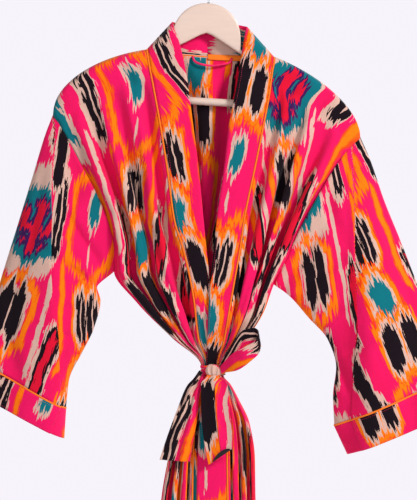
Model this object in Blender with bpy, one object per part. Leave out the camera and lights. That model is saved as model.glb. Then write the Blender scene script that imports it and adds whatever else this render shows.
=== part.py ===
# A kimono robe hung on a wooden hanger and drawn in at the waist by its own sash.
# Millimetres in the tables, metres in the mesh. X to the right, Z up, the front faces -Y.
# The origin is where the hook bears on a rail.
import math

import bpy
import numpy as np

for old in list(bpy.data.objects):
    bpy.data.objects.remove(old, do_unlink=True)

MM = 0.001
WALL = 1.2            # one layer of the robe's cloth
BAND_WALL = 1.7       # the neckband and the cuffs are doubled cloth
SASH_WALL = 1.4       # the sash is doubled cloth
PIPE_R = 1.2          # piping cord, radius
SEAM = 1.6            # half the room that the piping takes between two edges
SIDE = 1.0            # half the room between a front and the back at the side seam
BACK_FLAT = 500.0     # width of the back as cut
BACK_PLEATS = 6
FRONT_PLEATS = 3.5    # the half pleat brings the neckband to the outside
TIGHTEST = 3.2        # most cloth taken up in the width of a pleated edge
STEPS = 8             # mesh steps over one pleat
ARM_OPEN = 28.0       # how far the armhole stands open, front to back

# side seam and armhole of the body: row, left x, left z, right x, right z, armhole part (0 top, 1 armpit)
SIDES = [
    ("ridge", -254, -242, 240, -279, 0.0),
    ("roll", -255, -247, 241, -283, 0.02),
    ("yoke", -245, -262, 229, -296, 0.08),
    ("upper", -229, -292, 213, -315, 0.2),
    ("chest", -206, -335, 194, -343, 0.37),
    ("mid", -184, -377, 170, -384, 0.54),
    ("low", -165, -425, 144, -432, 0.72),
    ("base", -157, -466, 123, -478, 0.87),
    ("armpit", -157, -500, 102, -521, 1.0),
    ("flank", -120, -551, 85, -567, 1.0),
    ("funnel", -69, -609, 54, -614, 1.0),
    ("tie_top", -14, -652, 20, -652, 1.0),
    ("tie_low", -14, -668, 20, -668, 1.0),
    ("hip_1", -24, -684, 32, -684, 1.0),
    ("hip_2", -40, -710, 43, -708, 1.0),
    ("hip_3", -56, -745, 55, -745, 1.0),
    ("hip_4", -69, -802, 69, -802, 1.0),
    ("skirt_1", -80, -866, 72, -866, 1.0),
    ("skirt_2", -88, -960, 79, -960, 1.0),
    ("skirt_3", -96, -1080, 88, -1080, 1.0),
    ("skirt_4", -104, -1210, 97, -1210, 1.0),
    ("hem", -112, -1335, 106, -1335, 1.0),
]

# neckband of each front: seam x, z, free edge x, z, width of the front as cut
LEFT_BAND = [
    (-104, -142, -62, -97, 152),
    (-103, -147, -60, -105, 154),
    (-100, -166, -50, -135, 160),
    (-93, -202, -39, -186, 170),
    (-82, -262, -30, -255, 186),
    (-70, -336, -20, -333, 204),
    (-58, -421, -12, -415, 224),
    (-46, -459, -8, -457, 236),
    (-37, -495, -4, -495, 246),
    (-27, -548, 0, -548, 256),
    (-20, -608, 3, -608, 264),
    (-6, -652, 9, -652, 270),
    (-6, -668, 9, -668, 270),
    (-13, -686, 10, -686, 270),
    (-20, -713, 14, -713, 270),
    (-26, -751, 18, -751, 270),
    (-29, -810, 21, -810, 270),
    (-30, -874, 22, -874, 270),
    (-32, -968, 21, -968, 270),
    (-35, -1085, 17, -1085, 270),
    (-38, -1212, 14, -1212, 270),
    (-41, -1335, 11, -1335, 270),
]
RIGHT_BAND = [
    (102, -154, 58, -105, 150),
    (102, -159, 56, -113, 152),
    (99, -178, 50, -146, 158),
    (94, -214, 42, -198, 168),
    (84, -267, 29, -264, 184),
    (70, -336, 21, -333, 202),
    (54, -413, 10, -408, 222),
    (47, -461, 5, -459, 234),
    (38, -512, -1, -512, 246),
    (29, -564, -4, -563, 256),
    (21, -611, -6, -610, 264),
    (11, -652, -8, -652, 270),
    (11, -668, -8, -668, 270),
    (19, -686, -9, -686, 270),
    (23, -713, -14, -713, 270),
    (25, -751, -19, -751, 270),
    (26, -810, -22, -810, 270),
    (27, -874, -23, -874, 270),
    (30, -968, -20, -968, 270),
    (34, -1085, -16, -1085, 270),
    (38, -1212, -12, -1212, 270),
    (42, -1335, -9, -1335, 270),
]

# depth of each row: inner side of the left front's pleats, how far the right front's band lies before
# the left one, inner side of the back's pleats, share of the shoulder's rise that the row still follows
DEPTHS = [
    (0.6, 0.0, 0.6, 1.0),
    (8.8, 0.0, 8.8, 0.98),
    (9.5, 0.0, 10.0, 0.86),
    (9.5, 0.0, 10.5, 0.62),
    (9.0, 0.0, 11.0, 0.30),
    (8.5, 0.0, 11.0, 0.12),
    (8.0, 1.0, 10.0, 0.04),
    (8.0, 3.0, 9.0, 0.0),
    (8.0, 5.0, 9.0, 0.0),
    (7.0, 5.5, 8.0, 0.0),
    (5.5, 5.5, 5.5, 0.0),
    (4.5, 4.5, 3.5, 0.0),
    (4.5, 4.5, 3.5, 0.0),
    (6.0, 5.0, 4.5, 0.0),
    (7.0, 5.5, 5.5, 0.0),
    (7.5, 5.5, 6.5, 0.0),
    (8.0, 5.5, 7.5, 0.0),
    (8.5, 5.5, 8.5, 0.0),
    (9.0, 5.5, 9.5, 0.0),
    (9.5, 5.5, 10.5, 0.0),
    (10.0, 5.5, 11.5, 0.0),
    (11.0, 5.5, 12.0, 0.0),
]

# sleeve sections: fold edge x, z, underarm edge x, z, half depth, height of the soft folds
LEFT_SLEEVE = [
    (-254, -242, -157, -500, 14, 0.0),
    (-264, -281, -176, -520, 20, 2.0),
    (-285, -358, -180, -545, 25, 3.5),
    (-310, -438, -190, -593, 29, 5.0),
    (-338, -519, -208, -630, 32, 6.0),
    (-357, -582, -226, -676, 34, 6.5),
    (-374, -641, -235, -720, 36, 7.0),
]
LEFT_CUFF = [
    (-375, -644, -235, -723, 36, 7.0),
    (-392, -687, -238, -770, 37, 7.0),
]
RIGHT_SLEEVE = [
    (240, -279, 102, -521, 14, 0.0),
    (258, -322, 127, -540, 20, 2.0),
    (280, -386, 158, -575, 25, 3.5),
    (306, -450, 190, -612, 29, 5.0),
    (334, -522, 203, -656, 32, 6.0),
    (363, -594, 205, -702, 34, 6.5),
    (393, -667, 208, -748, 36, 7.0),
]
RIGHT_CUFF = [
    (394, -670, 208, -751, 36, 7.0),
    (411, -719, 221, -796, 37, 7.0),
]

# bow loop of the sash: rim x, z, y and lower edge x, z, y, out along the back and home along the front
BOW_LOOP = [
    (14.6, -651, -22, 15.0, -660, -22),
    (25, -635, -33, 35, -648, -30),
    (43, -607, -41, 56, -626, -38),
    (62, -590, -45, 72, -608, -44),
    (74, -595, -49, 79, -614, -50),
    (68, -608, -55, 72, -634, -55),
    (49, -624, -53, 54, -650, -53),
    (32, -640, -43, 37, -661, -43),
    (16, -654, -26.5, 17, -664, -26.5),
]
# hanging ends of the sash: left edge x, z, y and right edge x, z, y
MIDDLE_TAIL = [
    (-6, -666.6, -26.5, 14, -666.6, -26.5),
    (-16, -682, -28, 26, -681, -27),
    (-16, -712, -31, 29, -710, -30),
    (-14, -745, -35, 32, -740, -34),
    (-10, -778, -39, 34, -763, -37),
    (-4, -808, -41, 35, -782, -39),
]
SIDE_TAIL = [
    (-18.5, -660, -12.6, -9, -666, -16.0),
    (-27, -672, -17.5, -14, -682, -20.5),
    (-38, -684, -21, -19, -701, -23),
    (-54, -722, -27, -22, -735, -28),
    (-69, -762, -32, -28, -768, -33),
    (-82, -801, -36, -34, -804, -37),
]

# hanger, before it tips: half length, slopes of the top and the under edge, and its tip
HANGER_HALF = 204.0
HANGER_TIP = math.radians(3.5)
HANGER_TOP = 112.0
HANGER_SLOPE = 0.477
HANGER_UNDER = 113.0
UNDER_SLOPE = 0.58
HANGER_DEEP = 5.5
HEAD_HALF = 56.0
HEAD_TOP = 67.0
LOBE = 181.0
BAR_Z = 226.0
BAR_R = 6.0
HOOK_R = 22.0
WIRE_R = 2.0

ROBE = (0.86, 0.12, 0.42, 1.0)
ORANGE = (1.0, 0.30, 0.02, 1.0)
BEIGE = (0.66, 0.47, 0.34, 1.0)
NAVY = (0.02, 0.012, 0.03, 1.0)
WOOD = (0.86, 0.68, 0.50, 1.0)
STEEL = (0.62, 0.63, 0.65, 1.0)


def smooth(t):
    t = np.clip(t, 0.0, 1.0)
    return t * t * (3.0 - 2.0 * t)


# swing of a pleat, in radians, for the share of its cloth that the width keeps
SWINGS = np.linspace(0.0, 2.05, 120)
TURN = (np.arange(360) + 0.5) * math.pi / 180.0
KEPT = np.array([np.cos(w * np.sin(TURN)).mean() for w in SWINGS])


def pleated(share, pleats, side, count):
    # across and depth of a strip one unit long, folded so that its ends are share apart
    swing = float(np.interp(-share, -KEPT, SWINGS))
    fine = 12
    s = np.linspace(0.0, 1.0, count * fine + 1)
    uneven = s + 0.020 * np.sin(2.0 * math.pi * s) + 0.012 * np.sin(4.0 * math.pi * s)
    angle = side * swing * np.sin(2.0 * math.pi * pleats * uneven)
    step = 1.0 / (count * fine)
    dx = np.cos(angle) * step
    dy = np.sin(angle) * step
    x = np.concatenate(([0.0], np.cumsum(0.5 * (dx[1:] + dx[:-1]))))
    y = np.concatenate(([0.0], np.cumsum(0.5 * (dy[1:] + dy[:-1]))))
    return (x / x[-1])[::fine], y[::fine]


def taken_up(wide, flat, pleats):
    # cloth in a row: all of it where there is room, less where the pleats are pressed together
    room = 1.0 + (TIGHTEST - 1.0) * float(smooth((wide / pleats - 3.0) / 8.0))
    return min(max(flat, wide), room * wide)


def shoulder(s, rise):
    return rise * np.sqrt(np.clip(s, 0.0, 1.0)) * (1.0 - s)


def ridge(x):
    # height of the shoulder line and the back of the neck over x
    left = np.clip((x + 254.0) / 150.0, 0.0, 1.0)
    right = np.clip((240.0 - x) / 138.0, 0.0, 1.0)
    mid = np.clip((x + 104.0) / 206.0, 0.0, 1.0)
    z_left = -242.0 + 100.0 * left + shoulder(left, 78.0)
    z_right = -279.0 + 125.0 * right + shoulder(right, 92.0)
    z_mid = -142.0 - 12.0 * mid - 4.0 * np.sin(math.pi * mid)
    return np.where(x < -104.0, z_left, np.where(x > 102.0, z_right, z_mid))


def neck_back(x):
    # how far the back of the neck stands behind the hanger
    return 12.9 * smooth((104.0 - np.abs(x + 1.0)) / 22.0)


def spread(part):
    return SIDE + ARM_OPEN * math.sqrt(max(part * (1.0 - part), 0.0))


def front_row(band, left, number):
    # one row of a front: across, outward depth of its pleats, and its two ends
    side, seam = SIDES[number], band[number]
    sign = 1.0 if left else -1.0
    ax, az = (side[1], side[2]) if left else (side[3], side[4])
    bx, bz = seam[0] - sign * SEAM, seam[1]
    wide = math.hypot(bx - ax, bz - az)
    cloth = taken_up(wide, seam[4], FRONT_PLEATS)
    across, deep = pleated(wide / cloth, FRONT_PLEATS, 1.0, int(FRONT_PLEATS * STEPS))
    return (ax, az), (bx, bz), across, deep * cloth


def band_depth(number, left):
    # how far the neckband stands before the middle plane
    own = DEPTHS[number][0] + front_row(LEFT_BAND, True, number)[3][-1]
    if left:
        return own
    other = DEPTHS[number][0] + front_row(RIGHT_BAND, False, number)[3][-1]
    lift = DEPTHS[number][1]
    return other if lift == 0.0 else max(own + lift, other)


def front_grid(band, left):
    # points of one front, from the side seam to the neckband seam
    rise = 78.0 if left else 92.0
    rows = []
    for number, (side, depth) in enumerate(zip(SIDES, DEPTHS)):
        (ax, az), (bx, bz), across, deep = front_row(band, left, number)
        s = np.linspace(0.0, 1.0, len(across))
        inner = band_depth(number, left) - deep[-1]
        edge = min(spread(side[5]), inner)
        layer = edge + (inner - edge) * smooth(s * 2.0 * FRONT_PLEATS)
        x = ax + (bx - ax) * across
        z = az + (bz - az) * across + depth[3] * shoulder(across, rise)
        rows.append(np.stack([x, -layer - deep, z], axis=1))
    return np.array(rows)


def back_grid():
    # points of the back, from the left side seam to the right one
    count = BACK_PLEATS * STEPS
    s = np.linspace(0.0, 1.0, count + 1)
    top_x = -254.0 + 494.0 * s
    hump = ridge(top_x) - (-242.0 - 37.0 * s)
    rows = []
    for number, (side, depth) in enumerate(zip(SIDES, DEPTHS)):
        ax, az, bx, bz = side[1:5]
        wide = math.hypot(bx - ax, bz - az)
        cloth = taken_up(wide, BACK_FLAT, BACK_PLEATS)
        across, deep = pleated(wide / cloth, BACK_PLEATS, 1.0, count)
        edge = min(spread(side[5]), depth[2])
        ends = smooth(s * 2.0 * BACK_PLEATS) * smooth((1.0 - s) * 2.0 * BACK_PLEATS)
        layer = edge + (depth[2] - edge) * ends
        x = ax + (bx - ax) * across
        z = az + (bz - az) * across + depth[3] * hump
        if number < 2:
            layer = np.maximum(layer, neck_back(x) + (0.6, 1.4)[number])
            z = np.where(np.abs(x + 1.0) < 104.0, z - (1.8, 0.0)[number], z)
        rows.append(np.stack([x, layer + deep * cloth, z], axis=1))
    return np.array(rows)


def band_grid(band, left, cols=3):
    # points of one half of the neckband, from the middle of the back down to the hem
    sign = 1.0 if left else -1.0
    rows = []
    for x_seam, x_free, z_free in ((-5.6 - sign * 0.3, None, -101.0), (-5.6 - sign * 40.0, 0.84, -100.0),
                                   (-5.6 - sign * 76.0, 0.64, -99.0 + sign)):
        free = x_seam if x_free is None else -5.6 + (x_seam + 5.6) * x_free
        y = float(neck_back(np.array(x_seam)))
        z = float(ridge(np.array(x_seam))) + SEAM
        rows.append(((x_seam, y + 0.6, z), (free, min(y + 0.4, 12.0), z_free)))
    for number, seam in enumerate(band):
        y = 0.0 if number == 0 else -band_depth(number, left)
        rows.append(((seam[0] + sign * SEAM, y, seam[1] + (SEAM if number == 0 else 0.0)),
                     (seam[2], y, seam[3])))
    ends = np.array(rows)
    s = np.linspace(0.0, 1.0, cols + 1)[None, :, None]
    return ends[:, :1] * (1.0 - s) + ends[:, 1:] * s


def seam_path(band, left):
    # the middle line of the seam between a front and its half of the neckband
    sign = 1.0 if left else -1.0
    points = []
    for x in (-5.6 - sign * 1.6, -5.6 - sign * 40.0, -5.6 - sign * 76.0):
        y = float(neck_back(np.array(x)))
        points.append((x, y + 0.6, float(ridge(np.array(x))) - 0.1))
    for number, seam in enumerate(band):
        y = 0.0 if number == 0 else -band_depth(number, left)
        points.append((seam[0], y, seam[1] + (0.4 if number == 0 else 0.0)))
    return np.array(points)


def armhole(left, part):
    # x and z of the body's edge along the armhole
    pick = (1, 2) if left else (3, 4)
    parts = [row[5] for row in SIDES[:9]]
    x = np.interp(part, parts, [row[pick[0]] for row in SIDES[:9]])
    z = np.interp(part, parts, [row[pick[1]] for row in SIDES[:9]])
    return x, z


def soft_folds(x, left):
    # uneven upright folds of a sleeve
    u = -x if left else x
    return (np.sin(u / 15.0) * 0.55 + np.sin(u / 8.6 + 1.1) * 0.22 + np.sin(u / 27.0 + 0.6) * 0.5)


def sleeve_grid(table, left, first, half=12):
    # closed rings of a sleeve: down its front face and back up its rear face
    sign = 1.0 if left else -1.0
    turn = np.arange(2 * half) * math.pi / half
    s = 0.5 * (1.0 - np.cos(turn))
    face = np.where(turn <= math.pi, -1.0, 1.0)
    rows = []
    for number, (ox, oz, ix, iz, deep, soft) in enumerate(table):
        x = ox + (ix - ox) * s
        z = oz + (iz - oz) * s
        y = deep * np.sin(turn) * -1.0
        if first:
            fade = (1.0, 0.45, 0.15)[number] if number < 3 else 0.0
            hx, hz = armhole(left, s)
            top = table[0]
            x = x + fade * (hx - (top[0] + (top[2] - top[0]) * s))
            z = z + fade * (hz - (top[1] + (top[3] - top[1]) * s))
            if number == 0:
                y = face * (ARM_OPEN * np.sqrt(s * (1.0 - s)) + 0.5 * np.sin(turn) ** 2)
                x = x - sign * 1.25
                z = z - 0.8
        y = y + soft * soft_folds(x, left) * np.abs(np.sin(turn)) ** 0.5
        rows.append(np.stack([x, y, z], axis=1))
    return np.array(rows)


def normals(grid, ring):
    if ring:
        du = np.roll(grid, -1, axis=1) - np.roll(grid, 1, axis=1)
    else:
        du = np.gradient(grid, axis=1)
    dv = np.gradient(grid, axis=0)
    n = np.cross(du, dv)
    n /= np.maximum(np.linalg.norm(n, axis=2, keepdims=True), 1e-9)
    if not ring:
        # where the pleats are pressed together the wall stands straight before or behind the sheet
        step = np.linalg.norm(grid[:, -1] - grid[:, 0], axis=1) / (grid.shape[1] - 1)
        free = smooth((step - 0.4) / 0.8)[:, None, None]
        flat = np.zeros_like(n)
        flat[:, :, 1] = np.sign(n[:, :, 1].sum(axis=1))[:, None]
        n = n * free + flat * (1.0 - free)
        n /= np.maximum(np.linalg.norm(n, axis=2, keepdims=True), 1e-9)
    return n


def miter(grid, ring):
    # how much longer the step to the face has to be where the section turns
    after = np.roll(grid, -1, axis=1) - grid
    before = grid - np.roll(grid, 1, axis=1)
    after /= np.maximum(np.linalg.norm(after, axis=2, keepdims=True), 1e-9)
    before /= np.maximum(np.linalg.norm(before, axis=2, keepdims=True), 1e-9)
    half = np.sqrt(np.clip(0.5 * (1.0 + (after * before).sum(axis=2)), 0.2, 1.0))
    if not ring:
        half[:] = 1.0
    return 1.0 / half[:, :, None]


def mesh_object(name, points, faces, color, rough):
    mesh = bpy.data.meshes.new(name)
    mesh.from_pydata([tuple(p) for p in (points * MM)], [], faces)
    mesh.validate()
    mesh.update()
    volume = 0.0
    verts = [v.co for v in mesh.vertices]
    for face in mesh.polygons:
        ids = list(face.vertices)
        for k in range(1, len(ids) - 1):
            volume += verts[ids[0]].dot(verts[ids[k]].cross(verts[ids[k + 1]]))
    if volume < 0.0:
        mesh.flip_normals()
    mesh.shade_smooth()
    mesh.set_sharp_from_angle(angle=math.radians(50.0))
    obj = bpy.data.objects.new(name, mesh)
    bpy.context.collection.objects.link(obj)
    mat = bpy.data.materials.new(name)
    mat.use_nodes = True
    shader = mat.node_tree.nodes["Principled BSDF"]
    shader.inputs["Base Color"].default_value = color
    shader.inputs["Roughness"].default_value = rough
    mesh.materials.append(mat)
    return obj


def cloth(name, grid, wall, color, ring=False):
    # a sheet of cloth as a closed wall: the grid is its middle, the faces lie half a wall away
    rows, cols = grid.shape[:2]
    offset = normals(grid, ring) * miter(grid, ring) * (0.5 * wall)
    points = np.concatenate([(grid + offset).reshape(-1, 3), (grid - offset).reshape(-1, 3)])
    under = rows * cols
    faces = []
    last = cols if ring else cols - 1
    for r in range(rows - 1):
        for c in range(last):
            a, b = r * cols + c, r * cols + (c + 1) % cols
            d, e = a + cols, b + cols
            faces.append((a, b, e, d))
            faces.append((a + under, d + under, e + under, b + under))
    for c in range(last):
        a, b = c, (c + 1) % cols
        faces.append((a, a + under, b + under, b))
        a, b = a + (rows - 1) * cols, b + (rows - 1) * cols
        faces.append((a, b, b + under, a + under))
    if not ring:
        for r in range(rows - 1):
            a, d = r * cols, (r + 1) * cols
            faces.append((a, d, d + under, a + under))
            a, d = a + cols - 1, d + cols - 1
            faces.append((a, a + under, d + under, d))
    return mesh_object(name, points, faces, color, 0.85)


def cord(name, path, radius, color, sides=6, closed=False, rough=0.8):
    # a round cord along a path, its section carried along without a twist
    path = np.array(path, float)
    count = len(path)
    if closed:
        ahead = np.roll(path, -1, axis=0) - np.roll(path, 1, axis=0)
    else:
        ahead = np.gradient(path, axis=0)
    ahead /= np.linalg.norm(ahead, axis=1, keepdims=True)
    up = np.array([0.0, 1.0, 0.0]) if abs(ahead[0][1]) < 0.9 else np.array([1.0, 0.0, 0.0])
    points = []
    for k in range(count):
        up = up - ahead[k] * up.dot(ahead[k])
        up = up / np.linalg.norm(up)
        side = np.cross(ahead[k], up)
        for j in range(sides):
            a = 2.0 * math.pi * j / sides
            points.append(path[k] + radius * (math.cos(a) * up + math.sin(a) * side))
    faces = []
    for k in range(count if closed else count - 1):
        for j in range(sides):
            a, b = k * sides + j, k * sides + (j + 1) % sides
            d, e = (a + sides) % (count * sides), (b + sides) % (count * sides)
            faces.append((a, b, e, d))
    if not closed:
        faces.append(tuple(reversed(range(sides))))
        faces.append(tuple(range((count - 1) * sides, count * sides)))
    return mesh_object(name, np.array(points), faces, color, rough)


def ribbon_grid(table, cols, wave, waves):
    # a strip between two edges, with soft folds along it
    t = np.array(table, float)
    first = t[:, [0, 2, 1]][:, None, :]
    second = t[:, [3, 5, 4]][:, None, :]
    s = np.linspace(0.0, 1.0, cols + 1)[None, :, None]
    grid = first * (1.0 - s) + second * s
    grid[:, :, 1] += wave * np.sin(2.0 * math.pi * waves * s[:, :, 0] + 0.4)
    return grid


def tie_ring(count=28):
    # the sash round the waist, a squarish ring with two soft folds
    turn = np.arange(count) * 2.0 * math.pi / count
    rows = []
    for z, grow in ((-652.5, -0.4), (-656.0, 0.7), (-660.0, 0.0), (-664.0, 0.8), (-667.5, -0.3)):
        c, s = np.cos(turn), np.sin(turn)
        x = 3.5 + (19.6 + grow) * np.sign(c) * np.abs(c) ** 0.58
        y = -1.6 + (11.8 + grow) * np.sign(s) * np.abs(s) ** 0.58
        rows.append(np.stack([x, y, np.full(count, z)], axis=1))
    return np.array(rows)


def knot(name, color):
    # the knot: a rounded lump, grooved where the sash passes round it
    rings, sides = 9, 14
    points = [(4.0, -23.6, -649.0)]
    for r in range(1, rings):
        v = math.pi * r / rings
        for j in range(sides):
            a = 2.0 * math.pi * j / sides
            dent = 1.0 - 0.10 * math.cos(2.0 * a + 0.7) * math.sin(v) - 0.06 * math.cos(5.0 * v)
            points.append((4.0 + 11.0 * dent * math.sin(v) * math.cos(a),
                           -23.6 + 8.0 * dent * math.sin(v) * math.sin(a),
                           -658.0 + 9.0 * math.cos(v)))
    points.append((4.0, -23.6, -667.0))
    faces = []
    for j in range(sides):
        faces.append((0, 1 + j, 1 + (j + 1) % sides))
        low = 1 + (rings - 2) * sides
        faces.append((len(points) - 1, low + (j + 1) % sides, low + j))
        for r in range(rings - 2):
            a, b = 1 + r * sides + j, 1 + r * sides + (j + 1) % sides
            faces.append((a, a + sides, b + sides, b))
    return mesh_object(name, np.array(points), faces, color, 0.85)


def tip(points):
    # the hanger tips about the hook, the right end lower
    points = np.array(points, float)
    c, s = math.cos(HANGER_TIP), math.sin(HANGER_TIP)
    x = points[..., 0] * c + points[..., 2] * s
    z = -points[..., 0] * s + points[..., 2] * c
    return np.stack([x, points[..., 1], z], axis=-1)


def hanger_body(name):
    # wooden arms and head, as rounded sections from one end to the other
    half = [0.0, 14.0, 27.0, 38.0, 46.0, 52.0, 55.2, 58.0, 66.0, 110.0, 150.0, LOBE - 1.0, LOBE,
            LOBE + 4.0, 196.0, 201.0, HANGER_HALF]
    stations = [-h for h in reversed(half[1:])] + half
    points = []
    for x in stations:
        a = abs(x)
        top = -HANGER_TOP - HANGER_SLOPE * a
        if a < HEAD_HALF:
            top = max(top, -128.0 + (128.0 - HEAD_TOP) * (1.0 - (a / HEAD_HALF) ** 2.1) ** 0.48)
        under = -HANGER_UNDER - UNDER_SLOPE * a - 2.0 * math.exp(-(a / 6.0) ** 2)
        if a >= LOBE:
            under = -BAR_Z - 8.0
        end = smooth((a - 190.0) / (HANGER_HALF - 190.0))
        top -= 9.0 * float(end)
        under += 6.0 * float(end)
        deep = HANGER_DEEP * (1.0 - 0.35 * float(end))
        mid, high = 0.5 * (top + under), 0.5 * (top - under)
        cut = min(2.2, 0.5 * high)
        for y, z in ((-deep + cut, high), (deep - cut, high), (deep, high - cut), (deep, -high + cut),
                     (deep - cut, -high), (-deep + cut, -high), (-deep, -high + cut), (-deep, high - cut)):
            points.append((x, y, mid + z))
    faces = []
    for k in range(len(stations) - 1):
        for j in range(8):
            a, b = k * 8 + j, k * 8 + (j + 1) % 8
            faces.append((a, b, b + 8, a + 8))
    faces.append(tuple(reversed(range(8))))
    faces.append(tuple(range(len(points) - 8, len(points))))
    return mesh_object(name, tip(points), faces, WOOD, 0.5)


def hook_path():
    # up from the wood, round to the right, over the rail and down on the left
    path = [(0.0, 0.0, -HEAD_TOP + 0.5), (0.0, 0.0, -58.0), (0.6, 0.0, -51.0)]
    centre = -HOOK_R + WIRE_R
    for k in range(17):
        a = math.radians(-68.0 + 268.0 * k / 16.0)
        path.append((HOOK_R * math.cos(a), 0.0, centre + HOOK_R * math.sin(a)))
    return tip(path)


cloth("back_panel", back_grid(), WALL, ROBE)
for left, band, label in ((True, LEFT_BAND, "left"), (False, RIGHT_BAND, "right")):
    cloth(label + "_front", front_grid(band, left), WALL, ROBE)
    cloth(label + "_neckband", band_grid(band, left), BAND_WALL, BEIGE)
    cord(label + "_neck_piping", seam_path(band, left), PIPE_R, ORANGE, sides=5)
for left, sleeve, cuff, label in ((True, LEFT_SLEEVE, LEFT_CUFF, "left"),
                                  (False, RIGHT_SLEEVE, RIGHT_CUFF, "right")):
    body = sleeve_grid(sleeve, left, True)
    band = sleeve_grid(cuff, left, False)
    cloth(label + "_sleeve", body, WALL, ROBE, ring=True)
    cloth(label + "_cuff", band, BAND_WALL, NAVY, ring=True)
    cord(label + "_cuff_piping", 0.5 * (body[-1] + band[0]), PIPE_R, ORANGE, sides=5,
         closed=True)
cord("hanging_loop", [(-30, 10.9, -151.3), (-27, 8.6, -159), (-14, 6.6, -165), (2, 6.4, -167), (18, 6.6, -165),
                      (31, 8.6, -161), (34, 10.9, -154.7)], 1.6, ROBE)
cloth("sash_tie", tie_ring(), SASH_WALL, BEIGE, ring=True)
knot("sash_knot", BEIGE)
cloth("sash_bow_loop", ribbon_grid(BOW_LOOP, 4, 0.6, 1.0), SASH_WALL, ORANGE)
cloth("sash_middle_tail", ribbon_grid(MIDDLE_TAIL, 6, 1.6, 1.5), SASH_WALL, NAVY)
cloth("sash_side_tail", ribbon_grid(SIDE_TAIL, 6, 1.6, 1.5), SASH_WALL, ROBE)
hanger_body("hanger_wood")
cord("hanger_bar", tip([(x, 0.0, -BAR_Z) for x in (-LOBE + 1.4, 0.0, LOBE - 1.4)]), BAR_R, WOOD, sides=12,
     rough=0.5)
cord("hanger_hook", hook_path(), WIRE_R, STEEL, sides=8, rough=0.3)
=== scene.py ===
import math

import bpy
import numpy as np
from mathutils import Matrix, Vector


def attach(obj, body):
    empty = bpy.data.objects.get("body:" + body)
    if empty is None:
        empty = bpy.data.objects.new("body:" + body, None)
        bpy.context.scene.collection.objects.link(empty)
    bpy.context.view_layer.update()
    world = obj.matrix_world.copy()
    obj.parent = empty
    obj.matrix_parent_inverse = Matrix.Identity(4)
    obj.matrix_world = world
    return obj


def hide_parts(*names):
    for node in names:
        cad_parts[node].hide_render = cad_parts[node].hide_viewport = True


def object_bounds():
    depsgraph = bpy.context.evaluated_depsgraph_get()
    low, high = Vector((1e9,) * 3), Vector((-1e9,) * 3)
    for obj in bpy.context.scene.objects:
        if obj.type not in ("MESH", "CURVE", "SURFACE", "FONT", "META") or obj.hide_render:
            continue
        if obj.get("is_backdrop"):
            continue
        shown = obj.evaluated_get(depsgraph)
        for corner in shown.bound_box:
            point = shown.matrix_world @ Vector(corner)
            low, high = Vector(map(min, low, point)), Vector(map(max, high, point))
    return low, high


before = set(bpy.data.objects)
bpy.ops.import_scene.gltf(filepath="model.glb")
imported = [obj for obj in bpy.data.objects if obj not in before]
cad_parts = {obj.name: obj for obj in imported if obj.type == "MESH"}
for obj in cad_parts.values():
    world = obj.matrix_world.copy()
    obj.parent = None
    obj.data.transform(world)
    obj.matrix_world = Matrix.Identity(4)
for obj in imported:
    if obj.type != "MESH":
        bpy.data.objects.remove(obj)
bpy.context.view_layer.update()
scene = bpy.context.scene
scene.view_settings.view_transform = "Standard"
mm = 0.001

# side seam and armhole, left then right: x, z, x, z, part of the armhole, then the depth columns:
# inner side of the front pleats, lap of the right band, inner side of the back pleats, shoulder share
bodyRows = np.array([
    (-254, -242, 240, -279, 0.00, 0.6, 0.0, 0.6, 1.00),
    (-255, -247, 241, -283, 0.02, 8.8, 0.0, 8.8, 0.98),
    (-245, -262, 229, -296, 0.08, 9.5, 0.0, 10.0, 0.86),
    (-229, -292, 213, -315, 0.20, 9.5, 0.0, 10.5, 0.62),
    (-206, -335, 194, -343, 0.37, 9.0, 0.0, 11.0, 0.30),
    (-184, -377, 170, -384, 0.54, 8.5, 0.0, 11.0, 0.12),
    (-165, -425, 144, -432, 0.72, 8.0, 1.0, 10.0, 0.04),
    (-157, -466, 123, -478, 0.87, 8.0, 3.0, 9.0, 0.0),
    (-157, -500, 102, -521, 1.0, 8.0, 5.0, 9.0, 0.0),
    (-120, -551, 85, -567, 1.0, 7.0, 5.5, 8.0, 0.0),
    (-62, -609, 54, -614, 1.0, 5.5, 5.5, 5.5, 0.0),
    (-16, -652, 20, -652, 1.0, 4.5, 4.5, 3.5, 0.0),
    (-14, -668, 20, -668, 1.0, 4.5, 4.5, 3.5, 0.0),
    (-24, -684, 32, -684, 1.0, 6.0, 5.0, 4.5, 0.0),
    (-40, -710, 45, -708, 1.0, 7.0, 5.5, 5.5, 0.0),
    (-56, -745, 62, -745, 1.0, 7.5, 5.5, 6.5, 0.0),
    (-69, -802, 71, -802, 1.0, 8.0, 5.5, 7.5, 0.0),
    (-80, -866, 72, -866, 1.0, 8.5, 5.5, 8.5, 0.0),
    (-88, -960, 79, -960, 1.0, 9.0, 5.5, 9.5, 0.0),
    (-96, -1080, 88, -1080, 1.0, 9.5, 5.5, 10.5, 0.0),
    (-104, -1210, 97, -1210, 1.0, 10.0, 5.5, 11.5, 0.0),
    (-112, -1335, 106, -1335, 1.0, 11.0, 5.5, 12.0, 0.0),
])

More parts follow.
